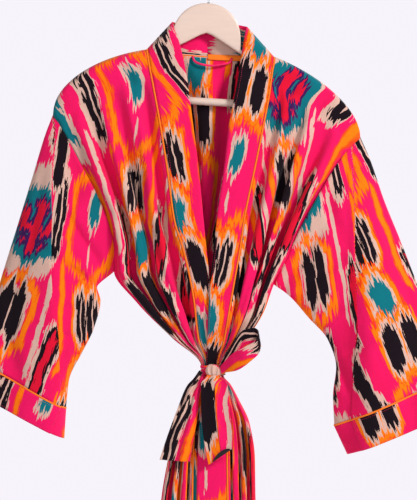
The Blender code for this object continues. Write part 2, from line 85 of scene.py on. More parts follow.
# neckband seam x, z, free edge x, z and the front's width as cut, in the same rows
leftBand = np.array([
    (-104, -142, -62, -97, 152), (-103, -147, -60, -105, 154), (-100, -166, -50, -135, 160),
    (-93, -202, -39, -186, 170), (-82, -262, -30, -255, 186), (-70, -336, -20, -333, 204),
    (-58, -421, -12, -415, 224), (-46, -459, -8, -457, 236), (-37, -495, -4, -495, 246),
    (-27, -548, 0, -548, 256), (-20, -608, 3, -608, 264), (-6, -652, 9, -652, 270),
    (-6, -668, 9, -668, 270), (-13, -686, 10, -686, 270), (-20, -713, 14, -713, 270),
    (-26, -751, 18, -751, 270), (-29, -810, 21, -810, 270), (-30, -874, 22, -874, 270),
    (-32, -968, 21, -968, 270), (-35, -1085, 17, -1085, 270), (-38, -1212, 14, -1212, 270),
    (-41, -1335, 11, -1335, 270),
])
rightBand = np.array([
    (102, -154, 58, -105, 150), (102, -159, 56, -113, 152), (99, -178, 50, -146, 158),
    (94, -214, 42, -198, 168), (84, -267, 29, -264, 184), (70, -336, 21, -333, 202),
    (54, -413, 10, -408, 222), (47, -461, 5, -459, 234), (38, -512, -1, -512, 246),
    (29, -564, -4, -563, 256), (21, -611, -6, -610, 264), (11, -652, -8, -652, 270),
    (11, -668, -8, -668, 270), (19, -686, -9, -686, 270), (23, -713, -14, -713, 270),
    (25, -751, -19, -751, 270), (26, -810, -22, -810, 270), (27, -874, -23, -874, 270),
    (30, -968, -20, -968, 270), (34, -1085, -16, -1085, 270), (38, -1212, -12, -1212, 270),
    (42, -1335, -9, -1335, 270),
])

# sleeve sections: fold edge x, z, underarm edge x, z, half depth, height of the soft folds
leftSleeve = np.array([
    (-254, -242, -157, -500, 14, 0.0), (-268, -280, -185, -527, 20, 2.0),
    (-291, -356, -179, -549, 25, 3.5), (-316, -437, -190, -593, 29, 5.0),
    (-341, -518, -208, -630, 32, 6.0), (-358, -582, -230, -676, 34, 6.5),
    (-374, -641, -235, -720, 36, 7.0),
])
leftCuff = np.array([(-375, -644, -235, -723, 36, 7.0), (-392, -687, -238, -770, 37, 7.0)])
rightSleeve = np.array([
    (240, -279, 102, -521, 14, 0.0), (258, -322, 127, -540, 20, 2.0),
    (280, -386, 158, -575, 25, 3.5), (306, -450, 190, -612, 29, 5.0),
    (334, -522, 203, -656, 32, 6.0), (363, -594, 198, -702, 34, 6.5),
    (393, -667, 200, -748, 36, 7.0),
])
rightCuff = np.array([(394, -670, 200, -751, 36, 7.0), (411, -719, 221, -796, 37, 7.0)])

# sash: one edge x, z, y and the other x, z, y, section by section
bowLoop = np.array([
    (13.6, -649, -22, 14.4, -660, -21), (32, -620, -34, 40, -650, -31), (53, -593, -42, 59, -630, -38),
    (69, -590, -46, 74, -615, -43), (75, -595, -50, 79, -617, -49), (73, -607, -55, 77, -627, -54),
    (54, -619, -56, 62, -643, -52), (35, -630, -46, 40, -658, -43), (15, -652, -26.5, 16, -663, -26.5),
])
middleTail = np.array([
    (-6, -666.6, -26.5, 14, -666.6, -26.5), (-16, -682, -28, 26, -681, -27),
    (-16, -712, -33, 29, -710, -33), (-14, -745, -38, 32, -740, -38),
    (-10, -778, -42, 34, -763, -42), (-4, -808, -44, 35, -782, -43),
])
sideTail = np.array([
    (-18.5, -660, -12.6, -9, -666, -16.0), (-27, -672, -17.5, -14, -682, -20.5),
    (-38, -684, -21, -19, -701, -23), (-54, -722, -27, -22, -735, -28),
    (-69, -762, -32, -28, -768, -33), (-82, -801, -36, -34, -804, -37),
])

robe = {
    "clothWall": 0.8,        # mm
    "bandWall": 1.4,
    "seamRoom": 1.6,         # half the room the piping takes between two edges
    "sideRoom": 0.45,
    "backFlat": 500.0,
    "backPleats": 6.0,
    "frontPleats": 3.5,
    "tightest": 3.2,         # most cloth taken up in the width of a pleated edge
    "armOpen": 28.0,
    "rowStep": 5.0,          # mm between two rows of the mesh
    "frontSteps": 40,        # columns of the mesh to a pleat
    "backSteps": 26,
    "leftRise": 78.0,        # of the shoulders over a straight line
    "rightRise": 70.0,
    "neckSag": 4.0,
    "neckDeep": 12.9,        # how far back the neck stands
    "neckHalf": 104.0,
    "join": -5.6,            # x where the two halves of the neckband meet
    "foldDepth": 1.6,        # how much deeper all soft folds of the fronts and back are made
}


# Smoothstep: 0 below 0, 1 above 1, 3t^2 - 2t^3 between.
def ease(t):
    t = np.clip(t, 0.0, 1.0)
    return t * t * (3.0 - 2.0 * t)


# Monotone cubic through the rows of a table: each column gets the harmonic mean of its neighbour slopes
# as its slope, so that it never overshoots between two rows.
def throughRows(knots, table, at):
    h = np.diff(knots)[:, None]
    slope = np.diff(table, axis=0) / h
    before, after = slope[:-1], slope[1:]
    w1, w2 = 2.0 * h[1:] + h[:-1], h[1:] + 2.0 * h[:-1]
    same = before * after > 0.0
    with np.errstate(divide="ignore", invalid="ignore"):
        inner = np.where(same, (w1 + w2) / (w1 / before + w2 / after), 0.0)
    tangent = np.concatenate([slope[:1], inner, slope[-1:]])
    k = np.clip(np.searchsorted(knots, at, side="right") - 1, 0, len(knots) - 2)
    t = ((at - knots[k]) / (knots[k + 1] - knots[k]))[:, None]
    hk = h[k]
    return ((2 * t**3 - 3 * t**2 + 1) * table[k] + (t**3 - 2 * t**2 + t) * hk * tangent[k]
            + (3 * t**2 - 2 * t**3) * table[k + 1] + (t**3 - t**2) * hk * tangent[k + 1])


# Distance along a table's rows, as the mean length of its two edges, and even steps along it.
def evenRows(table, step, pairs):
    d = sum(np.hypot(np.diff(table[:, a]), np.diff(table[:, b])) for a, b in pairs) / len(pairs)
    knots = np.concatenate([[0.0], np.cumsum(d)])
    return knots, np.linspace(0.0, knots[-1], max(2, int(round(knots[-1] / step)) + 1))


# share of its length that a waved strip keeps at each swing: the mean cosine of its direction
swings = np.linspace(0.0, 2.05, 240)
wave = (np.arange(720) + 0.5) * math.pi / 360.0
kept = np.cos(swings[:, None] * np.sin(wave)[None, :]).mean(axis=1)


# A strip folded in even waves: its direction swings as swing * sin(2 pi pleats s), and its course is the
# running sum of the cosine and sine of that direction, one row for each share of the width kept.
def pleated(share, pleats, count):
    fine = 6
    swing = np.interp(-share, -kept, swings)[:, None]
    s = np.linspace(0.0, 1.0, count * fine + 1)[None, :]
    uneven = s + 0.020 * np.sin(2 * math.pi * s) + 0.012 * np.sin(4 * math.pi * s)
    angle = swing * np.sin(2 * math.pi * pleats * uneven)
    dx, dy = np.cos(angle), np.sin(angle)
    step = 0.5 / (count * fine)
    zero = np.zeros((len(swing), 1))
    x = np.concatenate([zero, np.cumsum((dx[:, 1:] + dx[:, :-1]) * step, axis=1)], axis=1)
    y = np.concatenate([zero, np.cumsum((dy[:, 1:] + dy[:, :-1]) * step, axis=1)], axis=1)
    return (x / x[:, -1:])[:, ::fine], y[:, ::fine]


# Cloth in a row: all of it where there is room, less where the pleats are pressed together.
def takenUp(wide, flat, pleats):
    room = 1.0 + (robe["tightest"] - 1.0) * ease((wide / pleats - 3.0) / 8.0)
    return np.minimum(np.maximum(flat, wide), room * wide)


# Rise of the shoulder over a straight line from its tip to the neck: steep at the tip, gone at the neck.
def shoulder(s, rise):
    return rise * np.clip(s, 0.0, 1.0) ** 0.42 * (1.0 - s)


# x, z of the shoulders' tips and of the neck's two sides
leftTip, rightTip = bodyRows[0, 0:2], bodyRows[0, 2:4]
leftNeck, rightNeck = leftBand[0, 0:2], rightBand[0, 0:2]


# Height of the shoulder line and of the back of the neck over x.
def ridge(x):
    left = np.clip((x - leftTip[0]) / (leftNeck[0] - leftTip[0]), 0.0, 1.0)
    right = np.clip((rightTip[0] - x) / (rightTip[0] - rightNeck[0]), 0.0, 1.0)
    mid = np.clip((x - leftNeck[0]) / (rightNeck[0] - leftNeck[0]), 0.0, 1.0)
    zLeft = leftTip[1] + (leftNeck[1] - leftTip[1]) * left + shoulder(left, robe["leftRise"])
    zRight = rightTip[1] + (rightNeck[1] - rightTip[1]) * right + shoulder(right, robe["rightRise"])
    zMid = leftNeck[1] + (rightNeck[1] - leftNeck[1]) * mid - robe["neckSag"] * np.sin(math.pi * mid)
    return np.where(x < leftNeck[0], zLeft, np.where(x > rightNeck[0], zRight, zMid))


# How far back the neck stands over x, rising smoothly from nothing at its sides.
def neckBack(x):
    return robe["neckDeep"] * ease((robe["neckHalf"] - np.abs(x + 1.0)) / 22.0)


# Half the opening of the body at the armhole: half an ellipse over the part of the armhole.
def armSpread(part):
    return robe["sideRoom"] + robe["armOpen"] * np.sqrt(np.clip(part * (1.0 - part), 0.0, 1.0))


bodyKnots, bodySteps = evenRows(np.hstack([bodyRows, leftBand, rightBand]), robe["rowStep"],
                                ((0, 1), (2, 3), (9, 10), (14, 15)))
side = throughRows(bodyKnots, bodyRows, bodySteps)
bodyShare = bodySteps / bodySteps[-1]
bands = {True: throughRows(bodyKnots, leftBand, bodySteps), False: throughRows(bodyKnots, rightBand, bodySteps)}


# One front's rows: ends, share across and outward depth of the pleats.
def frontRows(left):
    sign = 1.0 if left else -1.0
    a = side[:, 0:2] if left else side[:, 2:4]
    band = bands[left]
    b = np.stack([band[:, 0] - sign * robe["seamRoom"], band[:, 1]], axis=1)
    wide = np.hypot(*(b - a).T)
    cloth = takenUp(wide, band[:, 4], robe["frontPleats"])
    across, deep = pleated(wide / cloth, robe["frontPleats"], int(robe["frontPleats"] * robe["frontSteps"]))
    return a, b, across, deep * cloth[:, None]


fronts = {True: frontRows(True), False: frontRows(False)}


# How far each half of the neckband stands before the middle plane; the right half laps over the left.
def bandDepth(left):
    own = side[:, 5] + fronts[True][3][:, -1]
    if left:
        return own
    other = side[:, 5] + fronts[False][3][:, -1]
    lap = np.clip(side[:, 6], 0.0, 1.0)
    return other + lap * np.maximum(0.0, own + side[:, 6] - other)


# tucks, listed: which side lies on top, and rows of share down the sheet, place across in mm,
# width turned back and width of cloth lost in the fold
frontTucks = {
    True: ((1, ((0.00, 60, 0, 0), (0.06, 62, 3, 0), (0.20, 74, 7, 8), (0.34, 92, 6, 10), (0.42, 110, 0, 10))),
           (-1, ((0.10, 118, 0, 0), (0.20, 128, 6, 5), (0.32, 150, 8, 9), (0.43, 170, 0, 9))),
           (1, ((0.22, 40, 0, 0), (0.32, 52, 6, 6), (0.42, 66, 0, 6)))),
    False: ((1, ((0.04, 88, 0, 0), (0.12, 92, 5, 4), (0.26, 108, 9, 10), (0.36, 124, 6, 12), (0.43, 140, 0, 12))),
            (-1, ((0.10, 44, 0, 0), (0.20, 52, 6, 6), (0.32, 66, 8, 10), (0.42, 84, 0, 10))),
            (1, ((0.20, 140, 0, 0), (0.30, 158, 6, 6), (0.42, 186, 0, 6)))),
}
backTucks = ((1, ((0.12, 120, 0, 0), (0.26, 140, 7, 8), (0.40, 165, 0, 8))),
             (-1, ((0.10, 350, 0, 0), (0.25, 345, 7, 8), (0.41, 330, 0, 8))),
             (1, ((0.05, 235, 0, 0), (0.22, 238, 6, 6), (0.40, 246, 0, 6))))
sleeveTucks = {
    True: ((1, ((0.00, 6, 0, 70), (0.10, 36, 7, 62), (0.26, 68, 11, 48), (0.46, 94, 12, 30), (0.65, 121, 10, 14),
                (0.83, 139, 8, 6), (1.00, 148, 8, 0))),),
    False: ((-1, ((0.00, 25, 0, 80), (0.115, 58, 6, 70), (0.28, 94, 11, 52), (0.456, 126, 12, 32),
                  (0.635, 142, 11, 16), (0.818, 158, 10, 6), (1.00, 178, 8, 0))),),
}


# soft folds along the warp, listed: rows of share down, place across in mm, width and depth
frontFolds = {
    True: (((0.02, 34, 9, 0), (0.09, 42, 8, 3.5), (0.20, 62, 6, 5.0), (0.33, 84, 6, 4.5), (0.41, 96, 5, 3.0)),
           ((0.00, 78, 9, 1.0), (0.10, 86, 8, 2.5), (0.21, 100, 7, 4.0), (0.32, 122, 6, 4.5), (0.41, 136, 5, 3.0)),
           ((0.08, 104, 8, 0), (0.19, 116, 6, 3.0), (0.34, 154, 5, 4.5), (0.41, 166, 5, 3.0)),
           ((0.00, 126, 10, 2.0), (0.12, 138, 7, 3.0), (0.25, 170, 6, 3.5), (0.38, 208, 5, 3.5), (0.42, 216, 5, 0)),
           ((0.18, 28, 7, 0), (0.27, 38, 6, 4.0), (0.36, 50, 5, 4.5), (0.42, 58, 5, 3.0)),
           ((0.24, 188, 6, 0), (0.33, 214, 5, 3.5), (0.41, 238, 5, 3.0)),
           ((0.27, 108, 5, 0), (0.34, 112, 5, 3.0), (0.41, 116, 5, 3.0)),
           ((0.26, 12, 6, 0), (0.35, 20, 5, 3.0), (0.41, 26, 5, 2.5)),
           ((0.44, 60, 5, 2.5), (0.52, 66, 7, 4.0), (0.70, 78, 10, 2.0), (0.86, 84, 11, 0)),
           ((0.44, 130, 5, 3.0), (0.56, 138, 8, 3.5), (0.78, 150, 10, 1.5), (1.0, 156, 12, 1.0)),
           ((0.44, 205, 5, 2.5), (0.50, 204, 6, 3.5), (0.62, 200, 8, 0))),
    False: (((0.03, 30, 9, 0), (0.10, 40, 8, 3.0), (0.22, 58, 6, 4.5), (0.35, 78, 6, 4.5), (0.41, 86, 5, 3.0)),
            ((0.00, 62, 9, 1.5), (0.12, 72, 8, 3.0), (0.24, 96, 7, 4.5), (0.34, 116, 6, 4.5), (0.41, 124, 5, 2.0)),
            ((0.10, 112, 8, 0), (0.22, 130, 6, 4.0), (0.33, 150, 5, 4.0), (0.41, 160, 5, 3.0)),
            ((0.00, 120, 10, 2.5), (0.14, 138, 7, 3.0), (0.27, 178, 6, 3.5), (0.40, 214, 5, 3.0)),
            ((0.20, 20, 7, 0), (0.30, 28, 6, 4.0), (0.38, 38, 5, 4.5), (0.42, 42, 5, 2.0)),
            ((0.26, 200, 6, 0), (0.35, 222, 5, 3.0), (0.41, 240, 5, 3.0)),
            ((0.25, 104, 5, 0), (0.33, 98, 5, 3.5), (0.41, 104, 5, 3.0)),
            ((0.44, 50, 5, 3.0), (0.50, 58, 7, 4.0), (0.64, 70, 10, 2.0), (0.80, 76, 11, 0)),
            ((0.44, 118, 5, 3.0), (0.58, 128, 8, 4.0), (0.82, 140, 10, 1.5), (1.0, 148, 12, 1.0)),
            ((0.44, 190, 5, 2.5), (0.54, 196, 6, 3.0), (0.70, 198, 8, 0))),
}
backFolds = (((0.03, 60, 10, 0), (0.14, 74, 8, 3.5), (0.28, 110, 7, 4.5), (0.41, 140, 6, 3.0)),
             ((0.02, 440, 10, 0), (0.12, 430, 8, 3.0), (0.26, 395, 7, 4.5), (0.41, 360, 6, 3.0)),
             ((0.06, 170, 9, 0), (0.18, 180, 8, 3.0), (0.33, 205, 6, 4.0), (0.41, 215, 6, 3.0)),
             ((0.10, 320, 9, 0), (0.22, 310, 8, 3.5), (0.35, 290, 6, 4.0), (0.41, 285, 6, 3.0)),
             ((0.20, 40, 7, 0), (0.32, 70, 6, 4.0), (0.41, 85, 6, 3.0)),
             ((0.18, 462, 7, 0), (0.31, 440, 6, 4.0), (0.41, 425, 6, 3.0)),
             ((0.28, 250, 6, 0), (0.41, 255, 6, 3.0)),
             ((0.44, 90, 6, 3.0), (0.56, 100, 8, 4.0), (0.80, 110, 11, 1.0), (0.9, 112, 11, 0)),
             ((0.44, 200, 6, 3.0), (0.52, 205, 8, 3.5), (0.70, 212, 10, 0)),
             ((0.44, 330, 6, 3.0), (0.60, 322, 9, 4.0), (1.0, 310, 12, 1.0)),
             ((0.44, 430, 6, 2.5), (0.55, 424, 8, 3.0), (0.75, 415, 10, 0)))


# Lays tucks across a sheet: past each one the cloth runs back under the fold and forward again, so its
# place steps back by the width turned, while the layer on top stands proud by a quarter of that width.
def laidTucks(place, down, tucks, drawn=1.0):
    back, proud, lost = np.zeros_like(place), np.zeros_like(place), np.zeros_like(place)
    for onTop, rows in tucks:
        t = np.array(rows, float)
        at, turned, hidden = (np.interp(down, t[:, 0], t[:, k])[:, None] for k in (1, 2, 3))
        step = ease((place - at) / np.maximum(0.7 * turned, 1.5) + 0.5)
        turned = turned * drawn
        back += turned * step
        proud += 0.26 * turned * np.exp(-np.abs(place - at) / 22.0) * ((1.0 - step) if onTop > 0 else step)
        lost += hidden * step
    return back, proud, lost


# Depth of the soft folds along the warp: a bell curve over the place across, wandering down the sheet.
def laidFolds(place, down, folds, drawn):
    total = np.zeros_like(place)
    for rows in folds:
        t = np.array(rows, float)
        at, width = (np.interp(down, t[:, 0], t[:, k])[:, None] for k in (1, 2))
        depth = np.interp(down, t[:, 0], t[:, 3], left=0.0, right=0.0)[:, None]
        total += depth * np.exp(-((place - at) / width) ** 2)
    return total * drawn


# soft troughs, listed: from x, z to x, z, half width and depth, all in mm
frontCreases = (
    (-140, -440, -196, -360, 9, 4), (-150, -470, -110, -410, 7, 3), (-52, -610, -96, -520, 5, 3),
    (120, -440, 172, -380, 9, 4), (128, -480, 90, -420, 7, 3), (46, -600, 84, -530, 5, 3),
    (-178, -560, -120, -470, 5, 2.5), (-100, -300, -132, -410, 8, 3), (96, -300, 128, -420, 8, 3),
    (-20, -690, -60, -900, 6, 3), (24, -690, 50, -860, 6, 3), (-50, -900, -70, -1300, 10, 3),
    (45, -900, 60, -1280, 10, 3),
)
sleeveCreases = {
    True: ((-164, -512, -240, -400, 8, 7), (-172, -536, -262, -470, 7, 7), (-180, -562, -250, -560, 8, 6),
           (-186, -300, -236, -420, 10, 5), (-300, -420, -330, -640, 11, 4), (-212, -620, -235, -700, 8, 6),
           (-270, -330, -300, -520, 8, 3.5), (-330, -600, -300, -690, 12, 4), (-196, -600, -268, -612, 8, 5)),
    False: ((112, -530, 190, -420, 8, 7), (124, -548, 212, -480, 7, 7), (150, -580, 218, -560, 8, 6),
            (170, -340, 206, -440, 10, 5), (286, -400, 340, -640, 11, 4), (196, -630, 224, -700, 8, 7),
            (262, -340, 300, -520, 8, 3.5), (360, -640, 300, -730, 12, 4), (206, -640, 262, -610, 8, 5)),
}


# Depth of soft troughs at points x, z: a bell curve over the distance to each line, faded at its ends.
def trough(x, z, creases):
    total = np.zeros_like(x)
    for x0, z0, x1, z1, width, depth in creases:
        dx, dz = x1 - x0, z1 - z0
        t = np.clip(((x - x0) * dx + (z - z0) * dz) / (dx * dx + dz * dz), 0.0, 1.0)
        far = np.hypot(x - x0 - t * dx, z - z0 - t * dz)
        total += depth * np.exp(-(far / width) ** 2) * np.sin(math.pi * (0.06 + 0.88 * t)) ** 0.8
    return total


# The cut of a hung sheet: across is the cloth place measured level, and down the length of each warp
# thread from the height where it starts.
def hungCut(x, z, place, lost, wide, level):
    run = np.hypot(np.diff(x, axis=0), np.diff(z, axis=0))
    down = np.concatenate([np.zeros((1, x.shape[1])), np.cumsum(run, axis=0)]) - z[:1]
    return (place * (level / wide)[:, None] + lost) * mm, down * mm


# A front: the layer goes out from the side seam within the first half pleat, and the pleats stand out of it.
def frontSheet(left):
    a, b, across, deep = fronts[left]
    s = np.linspace(0.0, 1.0, across.shape[1])[None, :]
    inner = (bandDepth(left) - deep[:, -1])[:, None]
    edge = np.minimum(armSpread(side[:, 4])[:, None], inner)
    layer = edge + (inner - edge) * ease(s * 2.0 * robe["frontPleats"])
    rise = robe["leftRise"] if left else robe["rightRise"]
    wide = np.hypot(*(b - a).T)
    cloth = np.maximum(wide, bands[left][:, 4])[:, None]
    drawn = np.minimum(1.0, 2.4 * wide[:, None] / cloth)
    back, proud, lost = laidTucks(s * cloth, bodyShare, frontTucks[left], drawn)
    laid = across * wide[:, None] - back
    laid /= laid[:, -1:]
    x = a[:, :1] + (b - a)[:, :1] * laid
    z = a[:, 1:] + (b - a)[:, 1:] * laid + side[:, 8:9] * shoulder(laid, rise)
    room = ease(s * 9.0) * ease((1.0 - s) * 12.0) * ease(bodySteps / 40.0)[:, None]
    folds = robe["foldDepth"] * laidFolds(s * cloth, bodyShare, frontFolds[left], drawn)
    y = -layer - deep + room * (trough(x, z, frontCreases) - proud + folds)
    line = s * np.ones_like(cloth)
    cutPlace = hungCut(a[:, :1] + (b - a)[:, :1] * line,
                       a[:, 1:] + (b - a)[:, 1:] * line + side[:, 8:9] * shoulder(line, rise),
                       s * cloth, lost, wide, np.abs(b - a)[:, 0])
    return np.stack([x, y, z], axis=2), cutPlace


# The back: its layer goes out from both side seams within half a pleat, pleats, tucks and soft folds stand
# out of it, and along its top it stands no less far back than the neck.
def backSheet():
    a, b = side[:, 0:2], side[:, 2:4]
    wide = np.hypot(*(b - a).T)
    cloth = takenUp(wide, robe["backFlat"], robe["backPleats"])[:, None]
    across, deep = pleated(wide / cloth[:, 0], robe["backPleats"], int(robe["backPleats"] * robe["backSteps"]))
    s = np.linspace(0.0, 1.0, across.shape[1])[None, :]
    inner = side[:, 7:8]
    edge = np.minimum(armSpread(side[:, 4])[:, None], inner)
    ends = ease(s * 2.0 * robe["backPleats"]) * ease((1.0 - s) * 2.0 * robe["backPleats"])
    layer = edge + (inner - edge) * ends
    flat = np.maximum(wide, robe["backFlat"])[:, None]
    drawn = np.minimum(1.0, 2.4 * wide[:, None] / flat)
    back, proud, lost = laidTucks(s * flat, bodyShare, backTucks, drawn)
    laid = across * wide[:, None] - back
    laid /= laid[:, -1:]
    x = a[:, :1] + (b - a)[:, :1] * laid
    hump = ridge(-254.0 + 494.0 * s) - (-242.0 - 37.0 * s)
    z = a[:, 1:] + (b - a)[:, 1:] * laid + side[:, 8:9] * hump
    top = np.clip(1.0 - bodySteps / 30.0, 0.0, 1.0)[:, None]
    room = ease(s * 9.0) * ease((1.0 - s) * 9.0) * ease(bodySteps / 60.0 - 0.4)[:, None]
    folds = robe["foldDepth"] * laidFolds(s * flat, bodyShare, backFolds, drawn)
    y = layer + deep * cloth + room * (proud - folds)
    y = np.maximum(y, (neckBack(x) + 0.6) * ease(top * 3.0))
    z = np.where(np.abs(x + 1.0) < robe["neckHalf"], z - 1.8 * top, z)
    line = s * np.ones_like(cloth)
    cutPlace = hungCut(a[:, :1] + (b - a)[:, :1] * line,
                       a[:, 1:] + (b - a)[:, 1:] * line + side[:, 8:9] * hump,
                       s * flat, lost, wide, np.abs(b - a)[:, 0])
    return np.stack([x, y, z], axis=2), cutPlace


# Where the neck seam runs behind the neck, at x.
def neckPoint(x):
    return x, float(neckBack(np.array(x))), float(ridge(np.array(x)))


# Points of half the neckband, from the middle of the back over the shoulder down to the hem: straight
# across between seam and free edge.
def bandPoints(left, cols=12):
    sign = 1.0 if left else -1.0
    band, join = bands[left], robe["join"]
    seam, free = [], []
    for out, share, zFree in ((0.0, 1.0, -101.0), (20.0, 0.92, -100.5), (40.0, 0.84, -100.0),
                              (60.0, 0.75, -99.5 + 0.5 * sign), (76.0, 0.64, -99.0 + sign)):
        x, y, z = neckPoint(join - sign * out)
        seam.append((x, y + 0.6, z + robe["seamRoom"]))
        free.append((join + (x - join) * share, min(y + 0.4, 12.0), zFree))
    depth = -bandDepth(left)
    depth[0] = 0.0
    down = np.stack([band[:, 0] + sign * robe["seamRoom"], depth, band[:, 1]], axis=1)
    down[0, 2] += robe["seamRoom"]
    inner = np.stack([band[:, 2], depth, band[:, 3]], axis=1)
    outer = np.concatenate([np.array(seam), down])[:, None, :]
    inner = np.concatenate([np.array(free), inner])[:, None, :]
    s = np.linspace(0.0, 1.0, cols + 1)[None, :, None]
    return outer * (1.0 - s) + inner * s


# x, z of the armhole, at a part of its length from the shoulder's tip down.
def armhole(left, part):
    pick = (0, 1) if left else (2, 3)
    knots = bodyRows[:9, 4]
    line = throughRows(knots, bodyRows[:9][:, pick], np.clip(part, 0.0, 1.0))
    return line[:, 0], line[:, 1]


# Uneven upright folds of a sleeve, as a sum of three waves over x.
def softFolds(x, left):
    u = -x if left else x
    return np.sin(u / 15.0) * 0.55 + np.sin(u / 8.6 + 1.1) * 0.22 + np.sin(u / 27.0 + 0.6) * 0.5


sleeveCut = {                # warp direction of each sleeve in x, z, and where its fold lies across
    True: ((-0.306, -0.952), (0.952, -0.306), 165.0),
    False: ((0.389, -0.921), (-0.921, -0.389), 112.0),
}


# Rings of a sleeve or cuff: each is a flat ellipse from the underarm edge up its rear face to the fold
# and down its front face again. Its cut is read straight off the flat sleeve, less what the tuck hides.
def sleeveSheet(table, left, first, tucks=(), half=130, step=5.0):
    sign = 1.0 if left else -1.0
    knots, at = evenRows(table, step, ((0, 1), (2, 3)))
    rows = throughRows(knots, table, at)
    phi = (np.arange(2 * half)[None, :] - half) * math.pi / half
    front = phi >= 0.0
    s = 0.5 * (1.0 - np.cos(phi)) * np.ones((len(rows), 1))
    wide = np.hypot(rows[:, 2] - rows[:, 0], rows[:, 3] - rows[:, 1])[:, None]
    back, proud, lost = laidTucks(s * wide, at / knots[-1], tucks)
    back, proud, lost = back * front, proud * front, lost * front
    end = (back.max(axis=1))[:, None]
    s = np.where(front, (s * wide - back) / (wide - end), s)
    x = rows[:, 0:1] + (rows[:, 2:3] - rows[:, 0:1]) * s
    z = rows[:, 1:2] + (rows[:, 3:4] - rows[:, 1:2]) * s
    y = -rows[:, 4:5] * np.sin(phi)
    if first:
        fade = throughRows(knots, np.array([[1.0], [0.45], [0.15]] + [[0.0]] * (len(table) - 3)), at)
        hx, hz = armhole(left, s[0])
        x = x + fade * (hx - (table[0, 0] + (table[0, 2] - table[0, 0]) * s))
        z = z + fade * (hz - (table[0, 1] + (table[0, 3] - table[0, 1]) * s))
        near = ease(1.0 - at / knots[1])[:, None]
        face = np.where(front, -1.0, 1.0)
        hole = face * (robe["armOpen"] * np.sqrt(s * (1.0 - s)) + 0.2 * np.sin(phi) ** 2)
        y = y * (1.0 - near) + hole * near
        x = x + sign * 0.6 * near
    away = np.abs(np.sin(phi)) ** 0.5
    y = y + rows[:, 5:6] * softFolds(x, left) * away
    room = ease(at / 30.0)[:, None] if first else 1.0
    y = y - proud * away * room - np.sign(y) * trough(x, z, sleeveCreases[left]) * away * room
    along, over, fold = sleeveCut[left]
    wrap = lambda grid: np.concatenate([grid, grid[:, :1]], axis=1)
    place = wrap(x) * over[0] + wrap(z) * over[1] + fold
    down = wrap(x) * along[0] + wrap(z) * along[1]
    place[:, :half] *= -1.0
    place[:, half + 1:-1] += lost[:, half + 1:]
    place[:, -1] += lost[:, -1]
    return np.stack([x, y, z], axis=2), (place * mm, down * mm)


# A new object of some data, put in the scene.
def linked(name, data):
    obj = bpy.data.objects.new(name, data)
    bpy.context.collection.objects.link(obj)
    return obj


# A mesh from a grid of points in mm, with its cut laid flat in a UV map in metres, v down the warp.
def sheetMesh(name, points, cut, wall, ring=False, flip=False):
    rows, cols = points.shape[:2]
    across, down = cut
    if down is None:
        run = np.linalg.norm(np.diff(points, axis=0), axis=2).mean(axis=1) * mm
        down = np.concatenate([[0.0], np.cumsum(run)])[:, None] * np.ones_like(across)
    r, c = np.meshgrid(np.arange(rows - 1), np.arange(cols if ring else cols - 1), indexing="ij")
    corners = [(r, c), (r, c + 1), (r + 1, c + 1), (r + 1, c)]
    if flip:
        corners.reverse()
    faces = np.stack([i * cols + j % cols for i, j in corners], axis=-1).reshape(-1, 4)
    u = np.stack([across[i, j] for i, j in corners], axis=-1).reshape(-1)
    v = -np.stack([down[i, j] for i, j in corners], axis=-1).reshape(-1)
    mesh = bpy.data.meshes.new(name)
    mesh.vertices.add(rows * cols)
    mesh.vertices.foreach_set("co", (points * mm).reshape(-1))
    mesh.loops.add(len(faces) * 4)
    mesh.loops.foreach_set("vertex_index", faces.reshape(-1))
    mesh.polygons.add(len(faces))
    mesh.polygons.foreach_set("loop_start", np.arange(len(faces)) * 4)
    mesh.update(calc_edges=True)
    uv = mesh.uv_layers.new(name="cut")
    uv.data.foreach_set("uv", np.stack([u, v], axis=-1).reshape(-1))
    mesh.shade_smooth()
    obj = linked(name, mesh)
    if wall:
        solid = obj.modifiers.new("wall", "SOLIDIFY")
        solid.thickness = wall * mm
        solid.offset = 0.0
    return obj


# A round cord along a path: rings of points carried along it, each set square to the path against one fixed
# direction.
def cordMesh(name, path, radius, sides=10, closed=False):
    path = np.asarray(path, float)
    n = len(path)
    ahead = (np.roll(path, -1, axis=0) - np.roll(path, 1, axis=0)) if closed else np.gradient(path, axis=0)
    ahead /= np.linalg.norm(ahead, axis=1, keepdims=True)
    ref = np.array([0.31, 0.87, 0.38])
    first = np.cross(ahead, ref)
    first /= np.linalg.norm(first, axis=1, keepdims=True)
    second = np.cross(ahead, first)
    a = (2 * math.pi * np.arange(sides) / sides)[None, :, None]
    rings = path[:, None] + radius * (np.cos(a) * first[:, None] + np.sin(a) * second[:, None])
    k, j = np.meshgrid(np.arange(n if closed else n - 1), np.arange(sides), indexing="ij")
    nj, nk = (j + 1) % sides, (k + 1) % n
    quads = [k * sides + j, k * sides + nj, nk * sides + nj, nk * sides + j]
    faces = np.stack(quads, axis=-1).reshape(-1, 4).tolist()
    if not closed:
        faces += [list(reversed(range(sides))), list(range((n - 1) * sides, n * sides))]
    mesh = bpy.data.meshes.new(name)
    mesh.from_pydata((rings.reshape(-1, 3) * mm).tolist(), [], faces)
    mesh.shade_smooth()
    return linked(name, mesh)


# Even points along a smooth curve through a few given ones.
def curvePath(points, step):
    points = np.asarray(points, float)
    knots = np.concatenate([[0.0], np.cumsum(np.linalg.norm(np.diff(points, axis=0), axis=1))])
    return throughRows(knots, points, np.linspace(0.0, knots[-1], max(3, int(knots[-1] / step))))


print("shapes worked out:", len(bodySteps), "rows")

# colours of the print, as dyed, a little deeper than they look under the lamps
inks = {
    "pink": (232, 14, 92), "crimson": (214, 8, 46), "orange": (246, 118, 0), "flame": (236, 58, 14),
    "beige": (208, 168, 152), "navy": (16, 3, 12), "teal": (0, 106, 116), "purple": (58, 16, 78),
}


